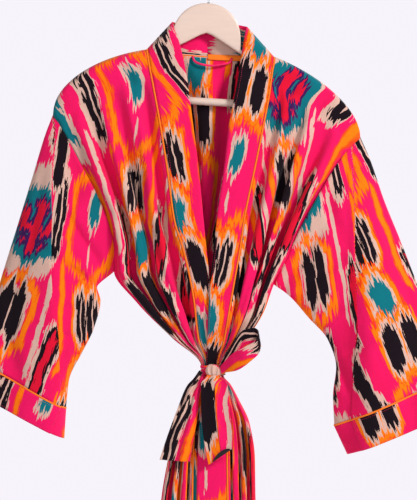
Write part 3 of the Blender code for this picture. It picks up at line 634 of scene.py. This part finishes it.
# Linear colour, with an alpha of 1, of a colour given from 0 to 255.
def linear(rgb):
    c = np.array(rgb, float) / 255.0
    c = np.where(c <= 0.04045, c / 12.92, ((c + 0.055) / 1.055) ** 2.4)
    return (float(c[0]), float(c[1]), float(c[2]), 1.0)


# One math node on numbers or sockets; gives its output.
def calc(tree, operation, *values):
    node = tree.nodes.new("ShaderNodeMath")
    node.operation = operation
    for socket, value in zip(node.inputs, values):
        if isinstance(value, bpy.types.NodeSocket):
            tree.links.new(value, socket)
        else:
            socket.default_value = value
    return node.outputs[0]


# Noise about zero, stretched by how many of its cells lie in a metre each way.
def streaks(tree, x, y, alongX, alongY, detail=2.0):
    joined = tree.nodes.new("ShaderNodeCombineXYZ")
    tree.links.new(calc(tree, "MULTIPLY", x, alongX), joined.inputs[0])
    tree.links.new(calc(tree, "MULTIPLY", y, alongY), joined.inputs[1])
    noise = tree.nodes.new("ShaderNodeTexNoise")
    noise.noise_dimensions = "2D"
    noise.inputs["Scale"].default_value = 1.0
    noise.inputs["Detail"].default_value = detail
    tree.links.new(joined.outputs[0], noise.inputs["Vector"])
    return calc(tree, "SUBTRACT", noise.outputs["Fac"], 0.5)


# the print: warp dyed in bundles, so that every figure ends in uneven streaks up and down
ikat = {
    "wide": 0.30,            # repeat across, mirrored about its middle
    "long": 0.46,            # repeat along the warp
    "bundle": 0.0026,        # width of the threads dyed together
    "jag": 0.011,            # how far neighbouring bundles are out of step
    "streak": 0.030,
    "drift": 0.016,
    "edge": 0.0030,          # unevenness of the upright edges
    "wander": 0.020,         # slow swelling and narrowing of the figures
    "ragged": 0.012,         # how unevenly the outlines were dyed
    "thinnest": 0.0075,      # lines thinner than this, as half a width, are dyed more evenly
}

# x, y, half width, half length, slope of the ends, colours from the core outwards up to a distance in mm,
# and whether they run softly into each other
motifs = [
    ((0.000, 0.100, 0.046, 0.108, 0.7), ((0, "beige"),), False),
    ((0.000, 0.250, 0.038, 0.075, 0.9),
     ((-9, "pink"), (-7, "flame"), (-4.5, "orange"), (1, "orange"), (3, "flame")), True),
    ((0.150, 0.075, 0.047, 0.105, 0.9),
     ((-10, "pink"), (-8, "flame"), (-5.5, "orange"), (0, "orange"), (2, "flame")), True),
    ((0.078, 0.075, 0.014, 0.085, 1.8), ((0, "beige"),), False),
    ((0.081, 0.080, 0.0090, 0.066, 1.6), ((0, "navy"),), False),
    ((0.098, 0.235, 0.0026, 0.090, 3.0), ((0, "orange"), (2, "flame")), True),
    ((0.066, 0.440, 0.0095, 0.060, 1.4), ((0, "navy"), (4, "beige")), False),
    ((0.056, 0.230, 0.0035, 0.110, 4.0), ((0, "beige"),), False),
    ((0.077, 0.315, 0.0110, 0.072, 1.6), ((-5.5, "crimson"), (0, "navy"), (4, "beige")), False),
    ((0.138, 0.222, 0.0105, 0.040, 1.2), ((0, "navy"), (4.5, "beige"), (9, "orange"), (11, "flame")), False),
    ((0.150, 0.315, 0.0170, 0.036, 1.2), ((0, "teal"), (5.5, "beige"), (11, "orange"), (13.5, "flame")), False),
    ((0.134, 0.395, 0.0110, 0.042, 1.2), ((0, "navy"), (4, "beige"), (8, "orange"), (9.5, "flame")), False),
    ((0.1375, 0.225, 0.0011, 0.034, 3.0), ((0, "beige"),), False),
    ((0.0815, 0.076, 0.0012, 0.052, 3.0), ((0, "beige"),), False),
    ((0.150, 0.045, 0.0090, 0.029, 1.0), ((0, "teal"), (4.5, "beige")), False),
    ((0.150, 0.122, 0.0026, 0.018, 2.0), ((0, "beige"),), False),
    ((0.000, 0.100, 0.040, 0.066, 0.5), ((0, "teal"),), False),
    ((0.0120, 0.245, 0.0105, 0.052, 2.2), ((0, "navy"), (5, "beige")), False),
    ((0.012, 0.385, 0.0105, 0.050, 1.6), ((-5.5, "crimson"), (0, "navy"), (4, "beige")), False),
]

# the figure in the medallion, a stem with a bud and two pairs of leaves, crimson edged with purple
figure = ((0.000, 0.104, 0.0045, 0.040, 0.6), (0.000, 0.066, 0.0085, 0.010, 1.0),
          (0.021, 0.095, 0.0060, 0.017, 1.0), (0.012, 0.108, 0.0110, 0.005, 0.0),
          (0.014, 0.132, 0.0100, 0.004, 0.9))


# Signed distance to a barrel with pointed ends, in metres: the larger of how far a point lies past the
# side, and how far past the sloping end, the ends counted at under half so that their halos run out long.
def barrel(tree, x, y, shape):
    x0, y0, halfWide, halfLong, slope = shape
    off = calc(tree, "ABSOLUTE", calc(tree, "SUBTRACT", x, x0))
    down = calc(tree, "WRAP", calc(tree, "SUBTRACT", y, y0), ikat["long"] / 2, -ikat["long"] / 2)
    end = calc(tree, "MULTIPLY_ADD", off, slope, calc(tree, "ABSOLUTE", down))
    end = calc(tree, "MULTIPLY", calc(tree, "SUBTRACT", end, halfLong), 0.42)
    return calc(tree, "MAXIMUM", calc(tree, "SUBTRACT", off, halfWide), end)


# Lays one motif over the colour below it: stepped bands of colour over its distance field, from the core
# out, clear past the last of them.
def layMotif(tree, below, distance, bands, soft=False):
    ramp = tree.nodes.new("ShaderNodeValToRGB")
    ramp.color_ramp.interpolation = "LINEAR" if soft else "CONSTANT"
    low, high = -60.0, 40.0  # distances in mm at the ramp's two ends
    part = calc(tree, "MULTIPLY_ADD", distance, 1000.0 / (high - low), -low / (high - low))
    tree.links.new(part, ramp.inputs[0])
    stops = ramp.color_ramp.elements
    last = bands[-1][0] + (1.6 if soft else 0.0)
    stops[0].position, stops[0].color = 0.0, linear(inks[bands[0][1]])
    stops[1].position = (last - low) / (high - low)
    stops[1].color = linear(inks[bands[-1][1]])[:3] + (0.0,)
    steps = bands if soft else [(start, ink) for (start, _), (_, ink) in zip(bands[:-1], bands[1:])]
    for start, ink in steps:
        stop = stops.new((start - low) / (high - low))
        stop.color = linear(inks[ink])
    mix = tree.nodes.new("ShaderNodeMix")
    mix.data_type = "RGBA"
    tree.links.new(ramp.outputs["Alpha"], mix.inputs["Factor"])
    tree.links.new(below, mix.inputs["A"])
    tree.links.new(ramp.outputs["Color"], mix.inputs["B"])
    return mix.outputs["Result"]


# The print as a group of nodes: the place on the cut is pulled about in bundles and streaks, folded into
# one repeat, and every motif is laid over the clouded ground.
def buildIkat():
    tree = bpy.data.node_groups.new("ikat print", "ShaderNodeTree")
    tree.interface.new_socket("Cut", in_out="INPUT", socket_type="NodeSocketVector")
    tree.interface.new_socket("Color", in_out="OUTPUT", socket_type="NodeSocketColor")
    start = tree.nodes.new("NodeGroupInput")
    split = tree.nodes.new("ShaderNodeSeparateXYZ")
    tree.links.new(start.outputs[0], split.inputs[0])
    u, v = split.outputs[0], calc(tree, "MULTIPLY", split.outputs[1], -1.0)
    bundle = tree.nodes.new("ShaderNodeTexWhiteNoise")
    bundle.noise_dimensions = "1D"
    tree.links.new(calc(tree, "FLOOR", calc(tree, "DIVIDE", u, ikat["bundle"])), bundle.inputs["W"])
    jag = calc(tree, "MULTIPLY", calc(tree, "SUBTRACT", bundle.outputs["Value"], 0.5), ikat["jag"])
    shift = calc(tree, "MULTIPLY_ADD", streaks(tree, u, v, 300.0, 7.0), ikat["streak"], jag)
    shift = calc(tree, "MULTIPLY_ADD", streaks(tree, u, v, 45.0, 3.0), ikat["drift"], shift)
    y = calc(tree, "ADD", v, shift)
    x = calc(tree, "MULTIPLY_ADD", streaks(tree, u, v, 90.0, 70.0), ikat["edge"], u)
    x = calc(tree, "MULTIPLY_ADD", streaks(tree, u, v, 14.0, 9.0), ikat["wander"], x)
    x = calc(tree, "PINGPONG", x, ikat["wide"] / 2)
    ground = tree.nodes.new("ShaderNodeMix")
    ground.data_type = "RGBA"
    ground.inputs["A"].default_value = linear(inks["pink"])
    ground.inputs["B"].default_value = linear(inks["crimson"])
    cloudy = calc(tree, "MULTIPLY_ADD", streaks(tree, u, v, 60.0, 9.0), 0.5, 0.12)
    tree.links.new(cloudy, ground.inputs["Factor"])
    color = ground.outputs["Result"]
    ragged = calc(tree, "MULTIPLY", streaks(tree, u, v, 330.0, 24.0), ikat["ragged"])
    for shape, bands, soft in motifs:
        share = min(1.0, shape[2] / ikat["thinnest"])
        distance = calc(tree, "MULTIPLY_ADD", ragged, share, barrel(tree, x, y, shape))
        color = layMotif(tree, color, distance, bands, soft)
    joined = barrel(tree, x, y, figure[0])
    for shape in figure[1:]:
        joined = calc(tree, "MINIMUM", joined, barrel(tree, x, y, shape))
    color = layMotif(tree, color, joined, ((0, "crimson"), (3.5, "purple")))
    end = tree.nodes.new("NodeGroupOutput")
    tree.links.new(color, end.inputs[0])
    return tree


ikatPrint = buildIkat()

cotton = {
    "roughness": 0.86,
    "sheen": 0.04,
    "weave": 0.00042,        # thread spacing
    "crumple": 0.0018,       # height of the fine crumples, in metres
}


# A new material with its nodes and its shader.
def newMaterial(name):
    material = bpy.data.materials.new(name)
    material.use_nodes = True
    return material, material.node_tree, material.node_tree.nodes["Principled BSDF"]


# A height in metres as a bump on the shader.
def addBump(tree, shader, height, strength):
    bump = tree.nodes.new("ShaderNodeBump")
    bump.inputs["Strength"].default_value = strength
    bump.inputs["Distance"].default_value = 1.0
    tree.links.new(height, bump.inputs["Height"])
    tree.links.new(bump.outputs[0], shader.inputs["Normal"])


# Cotton cloth printed with the ikat, moved to its place on the cut, and a plain weave with slubs as bump.
def clothMaterial(name, place, turn=False):
    material, tree, shader = newMaterial(name)
    cut = tree.nodes.new("ShaderNodeUVMap")
    cut.uv_map = "cut"
    mapping = tree.nodes.new("ShaderNodeMapping")
    mapping.inputs["Location"].default_value = (place[0], -place[1], 0.0)
    if turn:
        mapping.inputs["Rotation"].default_value = (0.0, 0.0, math.pi / 2)
    tree.links.new(cut.outputs[0], mapping.inputs["Vector"])
    group = tree.nodes.new("ShaderNodeGroup")
    group.node_tree = ikatPrint
    tree.links.new(mapping.outputs[0], group.inputs[0])
    split = tree.nodes.new("ShaderNodeSeparateXYZ")
    tree.links.new(cut.outputs[0], split.inputs[0])
    u, v = split.outputs[0], split.outputs[1]
    slub = calc(tree, "ADD", streaks(tree, u, v, 1600.0, 60.0), streaks(tree, u, v, 50.0, 1500.0))
    tone = tree.nodes.new("ShaderNodeHueSaturation")
    tree.links.new(calc(tree, "MULTIPLY_ADD", slub, 0.22, 1.0), tone.inputs["Value"])
    tree.links.new(group.outputs[0], tone.inputs["Color"])
    tree.links.new(tone.outputs[0], shader.inputs["Base Color"])
    tree.links.new(calc(tree, "MULTIPLY_ADD", slub, 0.25, cotton["roughness"]), shader.inputs["Roughness"])
    shader.inputs["Specular IOR Level"].default_value = 0.12
    shader.inputs["Sheen Weight"].default_value = cotton["sheen"]
    shader.inputs["Sheen Roughness"].default_value = 0.6
    spacing = 2 * math.pi / cotton["weave"]
    warp = calc(tree, "SINE", calc(tree, "MULTIPLY", u, spacing))
    weft = calc(tree, "SINE", calc(tree, "MULTIPLY", v, spacing))
    weave = calc(tree, "MULTIPLY", warp, weft)
    height = calc(tree, "MULTIPLY_ADD", weave, 0.00003, calc(tree, "MULTIPLY", slub, 0.0001))
    height = calc(tree, "MULTIPLY_ADD", streaks(tree, u, v, 45.0, 22.0, 3.0), cotton["crumple"], height)
    addBump(tree, shader, height, 0.7)
    return material


# A plain material with a little uneven colour and a fine bump, in the object's own coordinates.
def plainMaterial(name, rgb, roughness, scale, stretch=(1, 1, 1), metallic=0.0, spread=0.25,
                  bumpHeight=0.0001):
    material, tree, shader = newMaterial(name)
    coord = tree.nodes.new("ShaderNodeTexCoord")
    mapping = tree.nodes.new("ShaderNodeMapping")
    mapping.inputs["Scale"].default_value = stretch
    tree.links.new(coord.outputs["Object"], mapping.inputs["Vector"])
    noise = tree.nodes.new("ShaderNodeTexNoise")
    noise.inputs["Scale"].default_value = scale
    noise.inputs["Detail"].default_value = 4.0
    tree.links.new(mapping.outputs[0], noise.inputs["Vector"])
    tone = tree.nodes.new("ShaderNodeHueSaturation")
    tone.inputs["Color"].default_value = linear(rgb)
    uneven = noise.outputs["Fac"]
    tree.links.new(calc(tree, "MULTIPLY_ADD", uneven, spread, 1.0 - spread / 2), tone.inputs["Value"])
    tree.links.new(tone.outputs[0], shader.inputs["Base Color"])
    tree.links.new(calc(tree, "MULTIPLY_ADD", uneven, 0.15, roughness - 0.07), shader.inputs["Roughness"])
    shader.inputs["Metallic"].default_value = metallic
    addBump(tree, shader, calc(tree, "MULTIPLY", uneven, bumpHeight), 0.5)
    return material


# Gives a piece its material and its body, and hides the CAD node it stands for.
def dress(obj, node, material):
    obj.data.materials.append(material)
    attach(obj, "root")
    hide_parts(node)
    return obj


# Small raised stitches along lines on a sheet: a flat lozenge every few mm, standing off the cloth's wall.
def stitchMesh(name, lines, threadMaterial, length=2.2, pitch=3.6, wide=0.5, high=0.4):
    blocks = []
    for path, out in lines:
        knots = np.concatenate([[0.0], np.cumsum(np.linalg.norm(np.diff(path, axis=0), axis=1))])
        at = np.arange(pitch, knots[-1] - pitch, pitch)
        pick = lambda grid, where: np.stack([np.interp(where, knots, grid[:, k]) for k in range(3)], axis=1)
        along = pick(path, at + 0.5 * length) - pick(path, at - 0.5 * length)
        along /= np.linalg.norm(along, axis=1, keepdims=True)
        up = pick(out, at)
        up /= np.linalg.norm(up, axis=1, keepdims=True)
        across = np.cross(up, along)
        middle = pick(path, at)
        corners = [(-0.5, 0, 0), (-0.3, 0.5, 0), (0.3, 0.5, 0), (0.5, 0, 0), (0.3, -0.5, 0), (-0.3, -0.5, 0),
                   (-0.25, 0, 1), (0.25, 0, 1)]
        blocks.append(np.stack([middle + along * length * i + across * wide * j + up * high * (k - 0.2)
                                for i, j, k in corners], axis=1))
    points = np.concatenate(blocks)
    faces = np.array([(0, 6, 1, 1), (1, 6, 7, 2), (2, 7, 3, 3), (3, 7, 4, 4), (4, 7, 6, 5), (5, 6, 0, 0)])
    start = (np.arange(len(points)) * 8)[:, None, None]
    each = (faces[None] + start).reshape(-1, 4)
    tri = each[:, 2] == each[:, 3]
    mesh = bpy.data.meshes.new(name)
    mesh.from_pydata((points.reshape(-1, 3) * mm).tolist(), [], each[~tri].tolist() + each[tri][:, :3].tolist())
    mesh.materials.append(threadMaterial)
    obj = linked(name, mesh)
    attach(obj, "root")
    return obj


# A line of a sheet's grid, moved out by half its wall, and the way out of the cloth along it.
def onSheet(points, wall, outward, row=None, col=None):
    normal = np.cross(np.gradient(points, axis=1), np.gradient(points, axis=0))
    normal /= np.maximum(np.linalg.norm(normal, axis=2, keepdims=True), 1e-9)
    normal *= np.sign((normal * outward).sum(axis=2, keepdims=True) + 1e-9)
    pick = (slice(None), col) if row is None else (row, slice(None))
    return points[pick] + normal[pick] * (0.5 * wall), normal[pick]


# Across coordinates of closed rings: the distance run round each of them.
def ringAcross(points):
    step = np.linalg.norm(np.roll(points, -1, axis=1) - points, axis=2) * mm
    return np.concatenate([np.zeros((len(points), 1)), np.cumsum(step, axis=1)], axis=1)


places = {                   # where each piece lies on the printed cloth: across, along
    "back": (-0.082, 0.14), "leftFront": (0.035, -0.155), "rightFront": (-0.105, -0.118),
    "leftSleeve": (-0.030, 0.07), "rightSleeve": (0.080, 0.17),
    "leftCuff": (0.02, 0.22), "rightCuff": (0.0, 0.09),
    "leftBand": (0.150, 0.395), "rightBand": (0.118, 0.225),
    "leftInside": (0.028, 0.395), "rightInside": (-0.006, -0.008),
    "tie": (0.14, 0.53), "knot": (0.004, 0.0), "bow": (0.074, 0.030),
    "middleTail": (0.006, 0.185), "sideTail": (0.070, -0.03),
}

# how far the print lies to one side on each half of the neckband: mm along it, metres across
bandShift = {True: ((0, 0.045), (95, 0.045), (150, 0.036), (215, 0.0)), False: ((0, 0.0), (100, 0.0))}

thread = plainMaterial("sewing thread", (226, 40, 96), 0.75, 700.0)
bandStitches, cuffStitches, hemStitches = [], [], []
points, cut = backSheet()
hemStitches.append(onSheet(points, robe["clothWall"], np.array([0.0, 1.0, 0.0]), row=-4))
back = sheetMesh("robe_back", points, cut, robe["clothWall"])
dress(back, "back_panel", clothMaterial("back cotton", places["back"]))
print("back:", points.shape)

for left, label in ((True, "left"), (False, "right")):
    points, cut = frontSheet(left)
    hemStitches.append(onSheet(points, robe["clothWall"], np.array([0.0, -1.0, 0.0]), row=-4))
    front = sheetMesh(label + "_front_cloth", points, cut, robe["clothWall"], flip=left)
    dress(front, label + "_front", clothMaterial(label + " front cotton", places[label + "Front"]))

    points = bandPoints(left)
    run = np.cumsum(np.concatenate([[0.0], np.linalg.norm(np.diff(points, axis=0), axis=2).mean(axis=1)]))
    shift = np.interp(run, *np.array(bandShift[left]).T)[:, None]
    across = np.linalg.norm(points - points[:, :1], axis=2) * mm + shift
    points[:, :, 1] -= 0.9 * np.sin(np.linspace(0.0, math.pi, points.shape[1]))[None, :]
    for col in (1, -2):
        path, out = onSheet(points, robe["bandWall"], np.array([0.0, -1.0, 0.0]), col=col)
        bandStitches.append((path[6:], out[6:]))
    band = sheetMesh(label + "_neckband_cloth", points, (across, None), robe["bandWall"], flip=left)
    dress(band, label + "_neckband", clothMaterial(label + " band cotton", places[label + "Band"]))
    # the inner half of the folded band shows another part of the print
    band.data.materials.append(clothMaterial(label + " band inside", places[label + "Inside"]))
    band.modifiers["wall"].material_offset = 1
    print(label, "front and band")

for left, label, table, cuffTable in ((True, "left", leftSleeve, leftCuff),
                                      (False, "right", rightSleeve, rightCuff)):
    tucks = sleeveTucks[left]
    cuffTucks = [(over, ((0.0,) + rows[-1][1:], (1.0,) + rows[-1][1:])) for over, rows in tucks]
    body, bodyCut = sleeveSheet(table, left, True, tucks)
    cuff, cuffCut = sleeveSheet(cuffTable, left, False, cuffTucks, step=3.0)
    for kind, points, cut, node, wall in (("Sleeve", body, bodyCut, "_sleeve", robe["clothWall"]),
                                          ("Cuff", cuff, cuffCut, "_cuff", robe["bandWall"])):
        obj = sheetMesh(label + node + "_cloth", points, cut, wall, ring=True, flip=left)
        printed = clothMaterial(label + " " + kind.lower() + " cotton", places[label + kind])
        dress(obj, label + node, printed)
    middle = cuff.mean(axis=1, keepdims=True)
    for row in (1, -2):
        cuffStitches.append(onSheet(cuff, robe["bandWall"], cuff - middle, row=row))
    cord = cordMesh(label + "_cuff_cord", 0.5 * (body[-1] + cuff[0]), 1.5, sides=10, closed=True)
    piping = plainMaterial(label + " cuff cord", inks["orange"], 0.8, 900.0)
    dress(cord, label + "_cuff_piping", piping)
    print(label, "sleeve and cuff")


stitchMesh("neckband_stitches", bandStitches, thread)
stitchMesh("cuff_stitches", cuffStitches, thread)
stitchMesh("hem_stitches", hemStitches, thread)
print("stitches")


# The line of the seam between a front and its half of the neckband.
def seamLine(left):
    sign = 1.0 if left else -1.0
    line = []
    for out in (0.1, 20.0, 40.0, 60.0, 76.0):
        x, y, z = neckPoint(robe["join"] - sign * out)
        line.append((x, y + 0.6, z - 0.1))
    depth = -bandDepth(left)
    depth[0] = 0.0
    down = np.stack([bands[left][:, 0], depth, bands[left][:, 1]], axis=1)
    return np.concatenate([np.array(line), down])


for left, label in ((True, "left"), (False, "right")):
    line = curvePath(seamLine(left), 3.0)
    line[:, 1] -= 0.8 * ease((-line[:, 2] - 150.0) / 30.0)
    cord = cordMesh(label + "_neck_cord", line, 1.4, sides=10)
    piping = plainMaterial(label + " neck cord", inks["orange"], 0.8, 900.0)
    dress(cord, label + "_neck_piping", piping)

# the tape laid over the neck seam on the inside of the right half
s, t = np.meshgrid(np.linspace(robe["join"], 74.0, 34), np.linspace(4.0, -5.0, 5))
points = np.stack([s, neckBack(s) - 1.4, ridge(s) + t], axis=2)
tape = sheetMesh("neck_tape", points, (s * mm, None), 0.7)
tape.data.materials.append(plainMaterial("tape", inks["orange"], 0.8, 500.0))
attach(tape, "root")


# A strip between two edges given section by section, with soft folds along it.
def ribbonPoints(table, cols, wave, waves, step=2.0):
    knots, at = evenRows(table, step, ((0, 1), (3, 4)))
    t = throughRows(knots, table, at)
    s = np.linspace(0.0, 1.0, cols + 1)[None, :, None]
    grid = t[:, [0, 2, 1]][:, None, :] * (1.0 - s) + t[:, [3, 5, 4]][:, None, :] * s
    grid[:, :, 1] += wave * np.sin(2.0 * math.pi * waves * s[:, :, 0] + 0.4)
    return grid


tailTuck = ((-1, ((0.0, 22, 2, 3), (0.3, 24, 6, 12), (1.0, 26, 5, 12))),)
for name, node, table, cols, wave, waves, flat, placeName in (
        ("bow loop", "sash_bow_loop", bowLoop, 20, 0.6, 1.0, (0.025, 0.17), "bow"),
        ("middle tail", "sash_middle_tail", middleTail, 60, 1.4, 1.5, (0.046, 0.13), "middleTail"),
        ("side tail", "sash_side_tail", sideTail, 60, 2.2, 2.3, (0.042, 0.15), "sideTail")):
    points = ribbonPoints(table, cols, wave, waves, 1.5)
    across = np.linalg.norm(points - points[:, :1], axis=2)
    if name == "middle tail":
        back, proud, lost = laidTucks(across, np.linspace(0.0, 1.0, len(points)), tailTuck)
        share = (across - back) / (across[:, -1:] - back[:, -1:])
        points[:, :, 0] = points[:, :1, 0] + (points[:, -1:, 0] - points[:, :1, 0]) * share
        points[:, :, 1] -= proud * 1.6
        across = across + lost
    obj = sheetMesh(node + "_cloth", points, (across * mm, None), 1.2)
    dress(obj, node, clothMaterial("sash " + name + " cotton", places[placeName]))

# the end of the middle tail turned up in front, showing its dark side
s = np.linspace(0.0, 1.0, 24)[:, None, None]
t = np.linspace(0.0, 1.0, 9)[None, :, None]
low = np.array([2.0, -46.4, -803.5]) * (1.0 - s) + np.array([34.5, -45.2, -782.0]) * s
rise = np.array([0.0, -1.4, 1.0]) * np.sin(math.pi * np.clip(s * 1.1, 0.0, 1.0)) ** 0.7 * np.array([1.0, 1.0, 8.5])
points = low + rise * t
turnup = sheetMesh("tail_turnup", points, (np.linalg.norm(points - points[:, :1], axis=2) * mm, None), 0.8)
turnup.data.materials.append(plainMaterial("turned up corner", inks["navy"], 0.85, 400.0, spread=0.9))
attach(turnup, "root")

# the sash round the waist: a squarish ring with two soft folds
turnRing = np.arange(96) * 2.0 * math.pi / 96
rings = []
for z, grow in zip(np.linspace(-652.5, -667.5, 16), 0.7 * np.sin(np.linspace(0.0, 4 * math.pi, 16)) + 0.1):
    c, s = np.cos(turnRing), np.sin(turnRing)
    rings.append(np.stack([3.5 + (19.6 + grow) * np.sign(c) * np.abs(c) ** 0.58,
                           -1.6 + (11.8 + grow) * np.sign(s) * np.abs(s) ** 0.58, np.full(96, z)], axis=1))
points = np.array(rings)
tie = sheetMesh("sash_waist", points, (ringAcross(points), None), 1.2, ring=True)
dress(tie, "sash_tie", clothMaterial("sash tie cotton", places["tie"], turn=True))

# the knot, a squarish lump with upright grooves where the sash is drawn through it
v, a = np.meshgrid(np.linspace(0.0, math.pi, 40), np.arange(97) * 2 * math.pi / 96, indexing="ij")
full = np.sin(v) ** 0.6
across = np.sign(np.cos(a)) * np.abs(np.cos(a)) ** 0.8
groove = 1.0 - 0.34 * np.abs(np.sin(4.6 * across * (1.0 - 0.3 * np.cos(v)) + 0.4)) * full
points = np.stack([4.0 + 12.5 * full * across * (1.0 - 0.16 * np.cos(v)), -22.0 + 8.0 * groove * full * np.sin(a),
                   -659.0 + 9.5 * np.cos(v) - 1.2 * across * full], axis=2)
knot = sheetMesh("sash_knot_cloth", points, (14.0 * mm * (1.0 + across), 11.0 * mm * v), 0.0, flip=True)
dress(knot, "sash_knot", clothMaterial("sash knot cotton", places["knot"]))

loop = cordMesh("loop_cloth", curvePath([(-30, 10.9, -151.3), (-27, 8.6, -159), (-14, 6.6, -165), (2, 6.4, -167),
                (18, 6.6, -165), (31, 8.6, -161), (34, 10.9, -154.7)], 2.0), 1.7, sides=12)
dress(loop, "hanging_loop", plainMaterial("loop cotton", inks["pink"], 0.8, 60.0, spread=1.2))
print("piping, sash and loop")

hanger = {
    "half": 204.0, "tip": math.radians(3.5), "top": 112.0, "slope": 0.477, "under": 113.0, "underSlope": 0.58,
    "deep": 5.5, "headHalf": 56.0, "headTop": 67.0, "lobe": 181.0, "barZ": 226.0, "barR": 6.0,
    "hookR": 22.0, "wireR": 2.0,
}


# Turns points about the hook, the right end lower.
def tip(points):
    c, s = math.cos(hanger["tip"]), math.sin(hanger["tip"])
    x, y, z = points[..., 0], points[..., 1], points[..., 2]
    return np.stack([x * c + z * s, y, z * c - x * s], axis=-1)


# Wooden arms and head: rounded-square sections from end to end, their height between an upper and an
# under line, the head an upturned arch in the middle.
def hangerPoints():
    half, lobe = hanger["half"], hanger["lobe"]
    x = np.unique(np.concatenate([np.linspace(-half, half, 120), np.linspace(-62, 62, 90),
                                  [-lobe, lobe, 1.0 - lobe, lobe - 1.0]]))
    a = np.abs(x)
    head = np.clip(1.0 - np.clip(a / hanger["headHalf"], 0, 1) ** 2.1, 0, 1) ** 0.48
    top = -hanger["top"] - hanger["slope"] * a
    top = np.where(a < hanger["headHalf"], np.maximum(top, -128.0 + (128.0 - hanger["headTop"]) * head), top)
    under = -hanger["under"] - hanger["underSlope"] * a - 2.0 * np.exp(-(a / 6.0) ** 2)
    under = np.where(a >= hanger["lobe"], -hanger["barZ"] - 8.0, under)
    end = ease((a - 190.0) / 14.0)
    top, under, deep = top - 9.0 * end, under + 6.0 * end, hanger["deep"] * (1.0 - 0.35 * end)
    turn = np.arange(28) * 2 * math.pi / 28
    c, s = np.cos(turn), np.sin(turn)
    y = deep[:, None] * (np.sign(c) * np.abs(c) ** 0.45)[None, :]
    z = 0.5 * (top + under)[:, None] + 0.5 * (top - under)[:, None] * (np.sign(s) * np.abs(s) ** 0.22)[None, :]
    return tip(np.stack([np.broadcast_to(x[:, None], y.shape), y, z], axis=2))


points = hangerPoints()
wood = sheetMesh("hanger_arms", points, (ringAcross(points), None), 0.0, ring=True)
woodMaterial = plainMaterial("pale wood", (216, 190, 174), 0.42, 16.0, stretch=(1.2, 9, 9), spread=0.16)
dress(wood, "hanger_wood", woodMaterial)
bar = cordMesh("hanger_rod", tip(np.array([(x, 0.0, -hanger["barZ"]) for x in np.linspace(-179.6, 179.6, 40)])),
               hanger["barR"], sides=32)
dress(bar, "hanger_bar", woodMaterial)
hookTurn = np.radians(np.linspace(-68.0, 200.0, 60))
centre = -hanger["hookR"] + hanger["wireR"]
hookLine = np.concatenate([np.array([(0.0, 0.0, -66.5), (0.0, 0.0, -62.0), (0.0, 0.0, -58.0), (0.6, 0.0, -51.0)]),
                           np.stack([hanger["hookR"] * np.cos(hookTurn), 0 * hookTurn,
                                     centre + hanger["hookR"] * np.sin(hookTurn)], axis=1)])
hook = cordMesh("hanger_wire", tip(curvePath(hookLine, 1.5)), hanger["wireR"], sides=18)
steel = plainMaterial("hook steel", (196, 198, 202), 0.28, 300.0, metallic=1.0, spread=0.08)
dress(hook, "hanger_hook", steel)
print("hanger")

studio = {
    "backdrop": (0.935, 0.900, 0.968), "daylight": (0.93, 0.93, 1.0), "daylightStrength": 0.36,
    "key": ((1.9, -1.9, 1.0), 0.7, 78.0), "fill": ((-0.5, -2.7, 0.35), 1.0, 13.0),
    "behind": ((1.9, 2.3, 0.9), 1.4, 60.0), "behindLeft": ((-2.0, 2.0, 0.4), 1.4, 25.0),
    "camera": (-0.004, -2.63, -0.466), "lens": 117.0,
}
world = bpy.data.worlds.new("studio")
scene.world = world
world.use_nodes = True
daylight = world.node_tree.nodes["Background"]
daylight.inputs["Color"].default_value = studio["daylight"] + (1.0,)
daylight.inputs["Strength"].default_value = studio["daylightStrength"]
backdrop = world.node_tree.nodes.new("ShaderNodeBackground")
backdrop.inputs["Color"].default_value = studio["backdrop"] + (1.0,)
rays = world.node_tree.nodes.new("ShaderNodeLightPath")
blend = world.node_tree.nodes.new("ShaderNodeMixShader")
world.node_tree.links.new(rays.outputs["Is Camera Ray"], blend.inputs[0])
world.node_tree.links.new(daylight.outputs[0], blend.inputs[1])
world.node_tree.links.new(backdrop.outputs[0], blend.inputs[2])
world.node_tree.links.new(blend.outputs[0], world.node_tree.nodes["World Output"].inputs["Surface"])


# A round lamp at a place, turned to the point that it aims at.
def areaLight(name, place, size, power, aim=(0.0, 0.0, -0.5)):
    data = bpy.data.lights.new(name, "AREA")
    data.shape = "DISK"
    data.size = size
    data.energy = power
    light = linked(name, data)
    light.location = place
    direction = np.array(aim) - np.array(place)
    flatRun = math.hypot(direction[0], direction[1])
    light.rotation_euler = (math.atan2(flatRun, -direction[2]), 0.0, math.atan2(-direction[0], direction[1]))
    light.visible_camera = False
    return light


areaLight("key light", *studio["key"])
areaLight("fill light", *studio["fill"])
areaLight("light behind right", *studio["behind"])
areaLight("light behind left", *studio["behindLeft"])

floorMesh = bpy.data.meshes.new("floor")
floorMesh.from_pydata([(-4, -4, -1.52), (4, -4, -1.52), (4, 4, -1.52), (-4, 4, -1.52)], [], [(0, 1, 2, 3)])
floor = linked("floor", floorMesh)
floorMesh.materials.append(plainMaterial("floor paint", (240, 239, 243), 0.7, 3.0, spread=0.03, bumpHeight=0.0))
floor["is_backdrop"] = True

cameraData = bpy.data.cameras.new("camera")
cameraData.sensor_fit = "VERTICAL"
cameraData.sensor_height = 36.0
cameraData.lens = studio["lens"]
camera = linked("camera", cameraData)
camera.location = studio["camera"]
camera.rotation_euler = (math.pi / 2, 0.0, 0.0)
scene.camera = camera

low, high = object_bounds()
print("done")
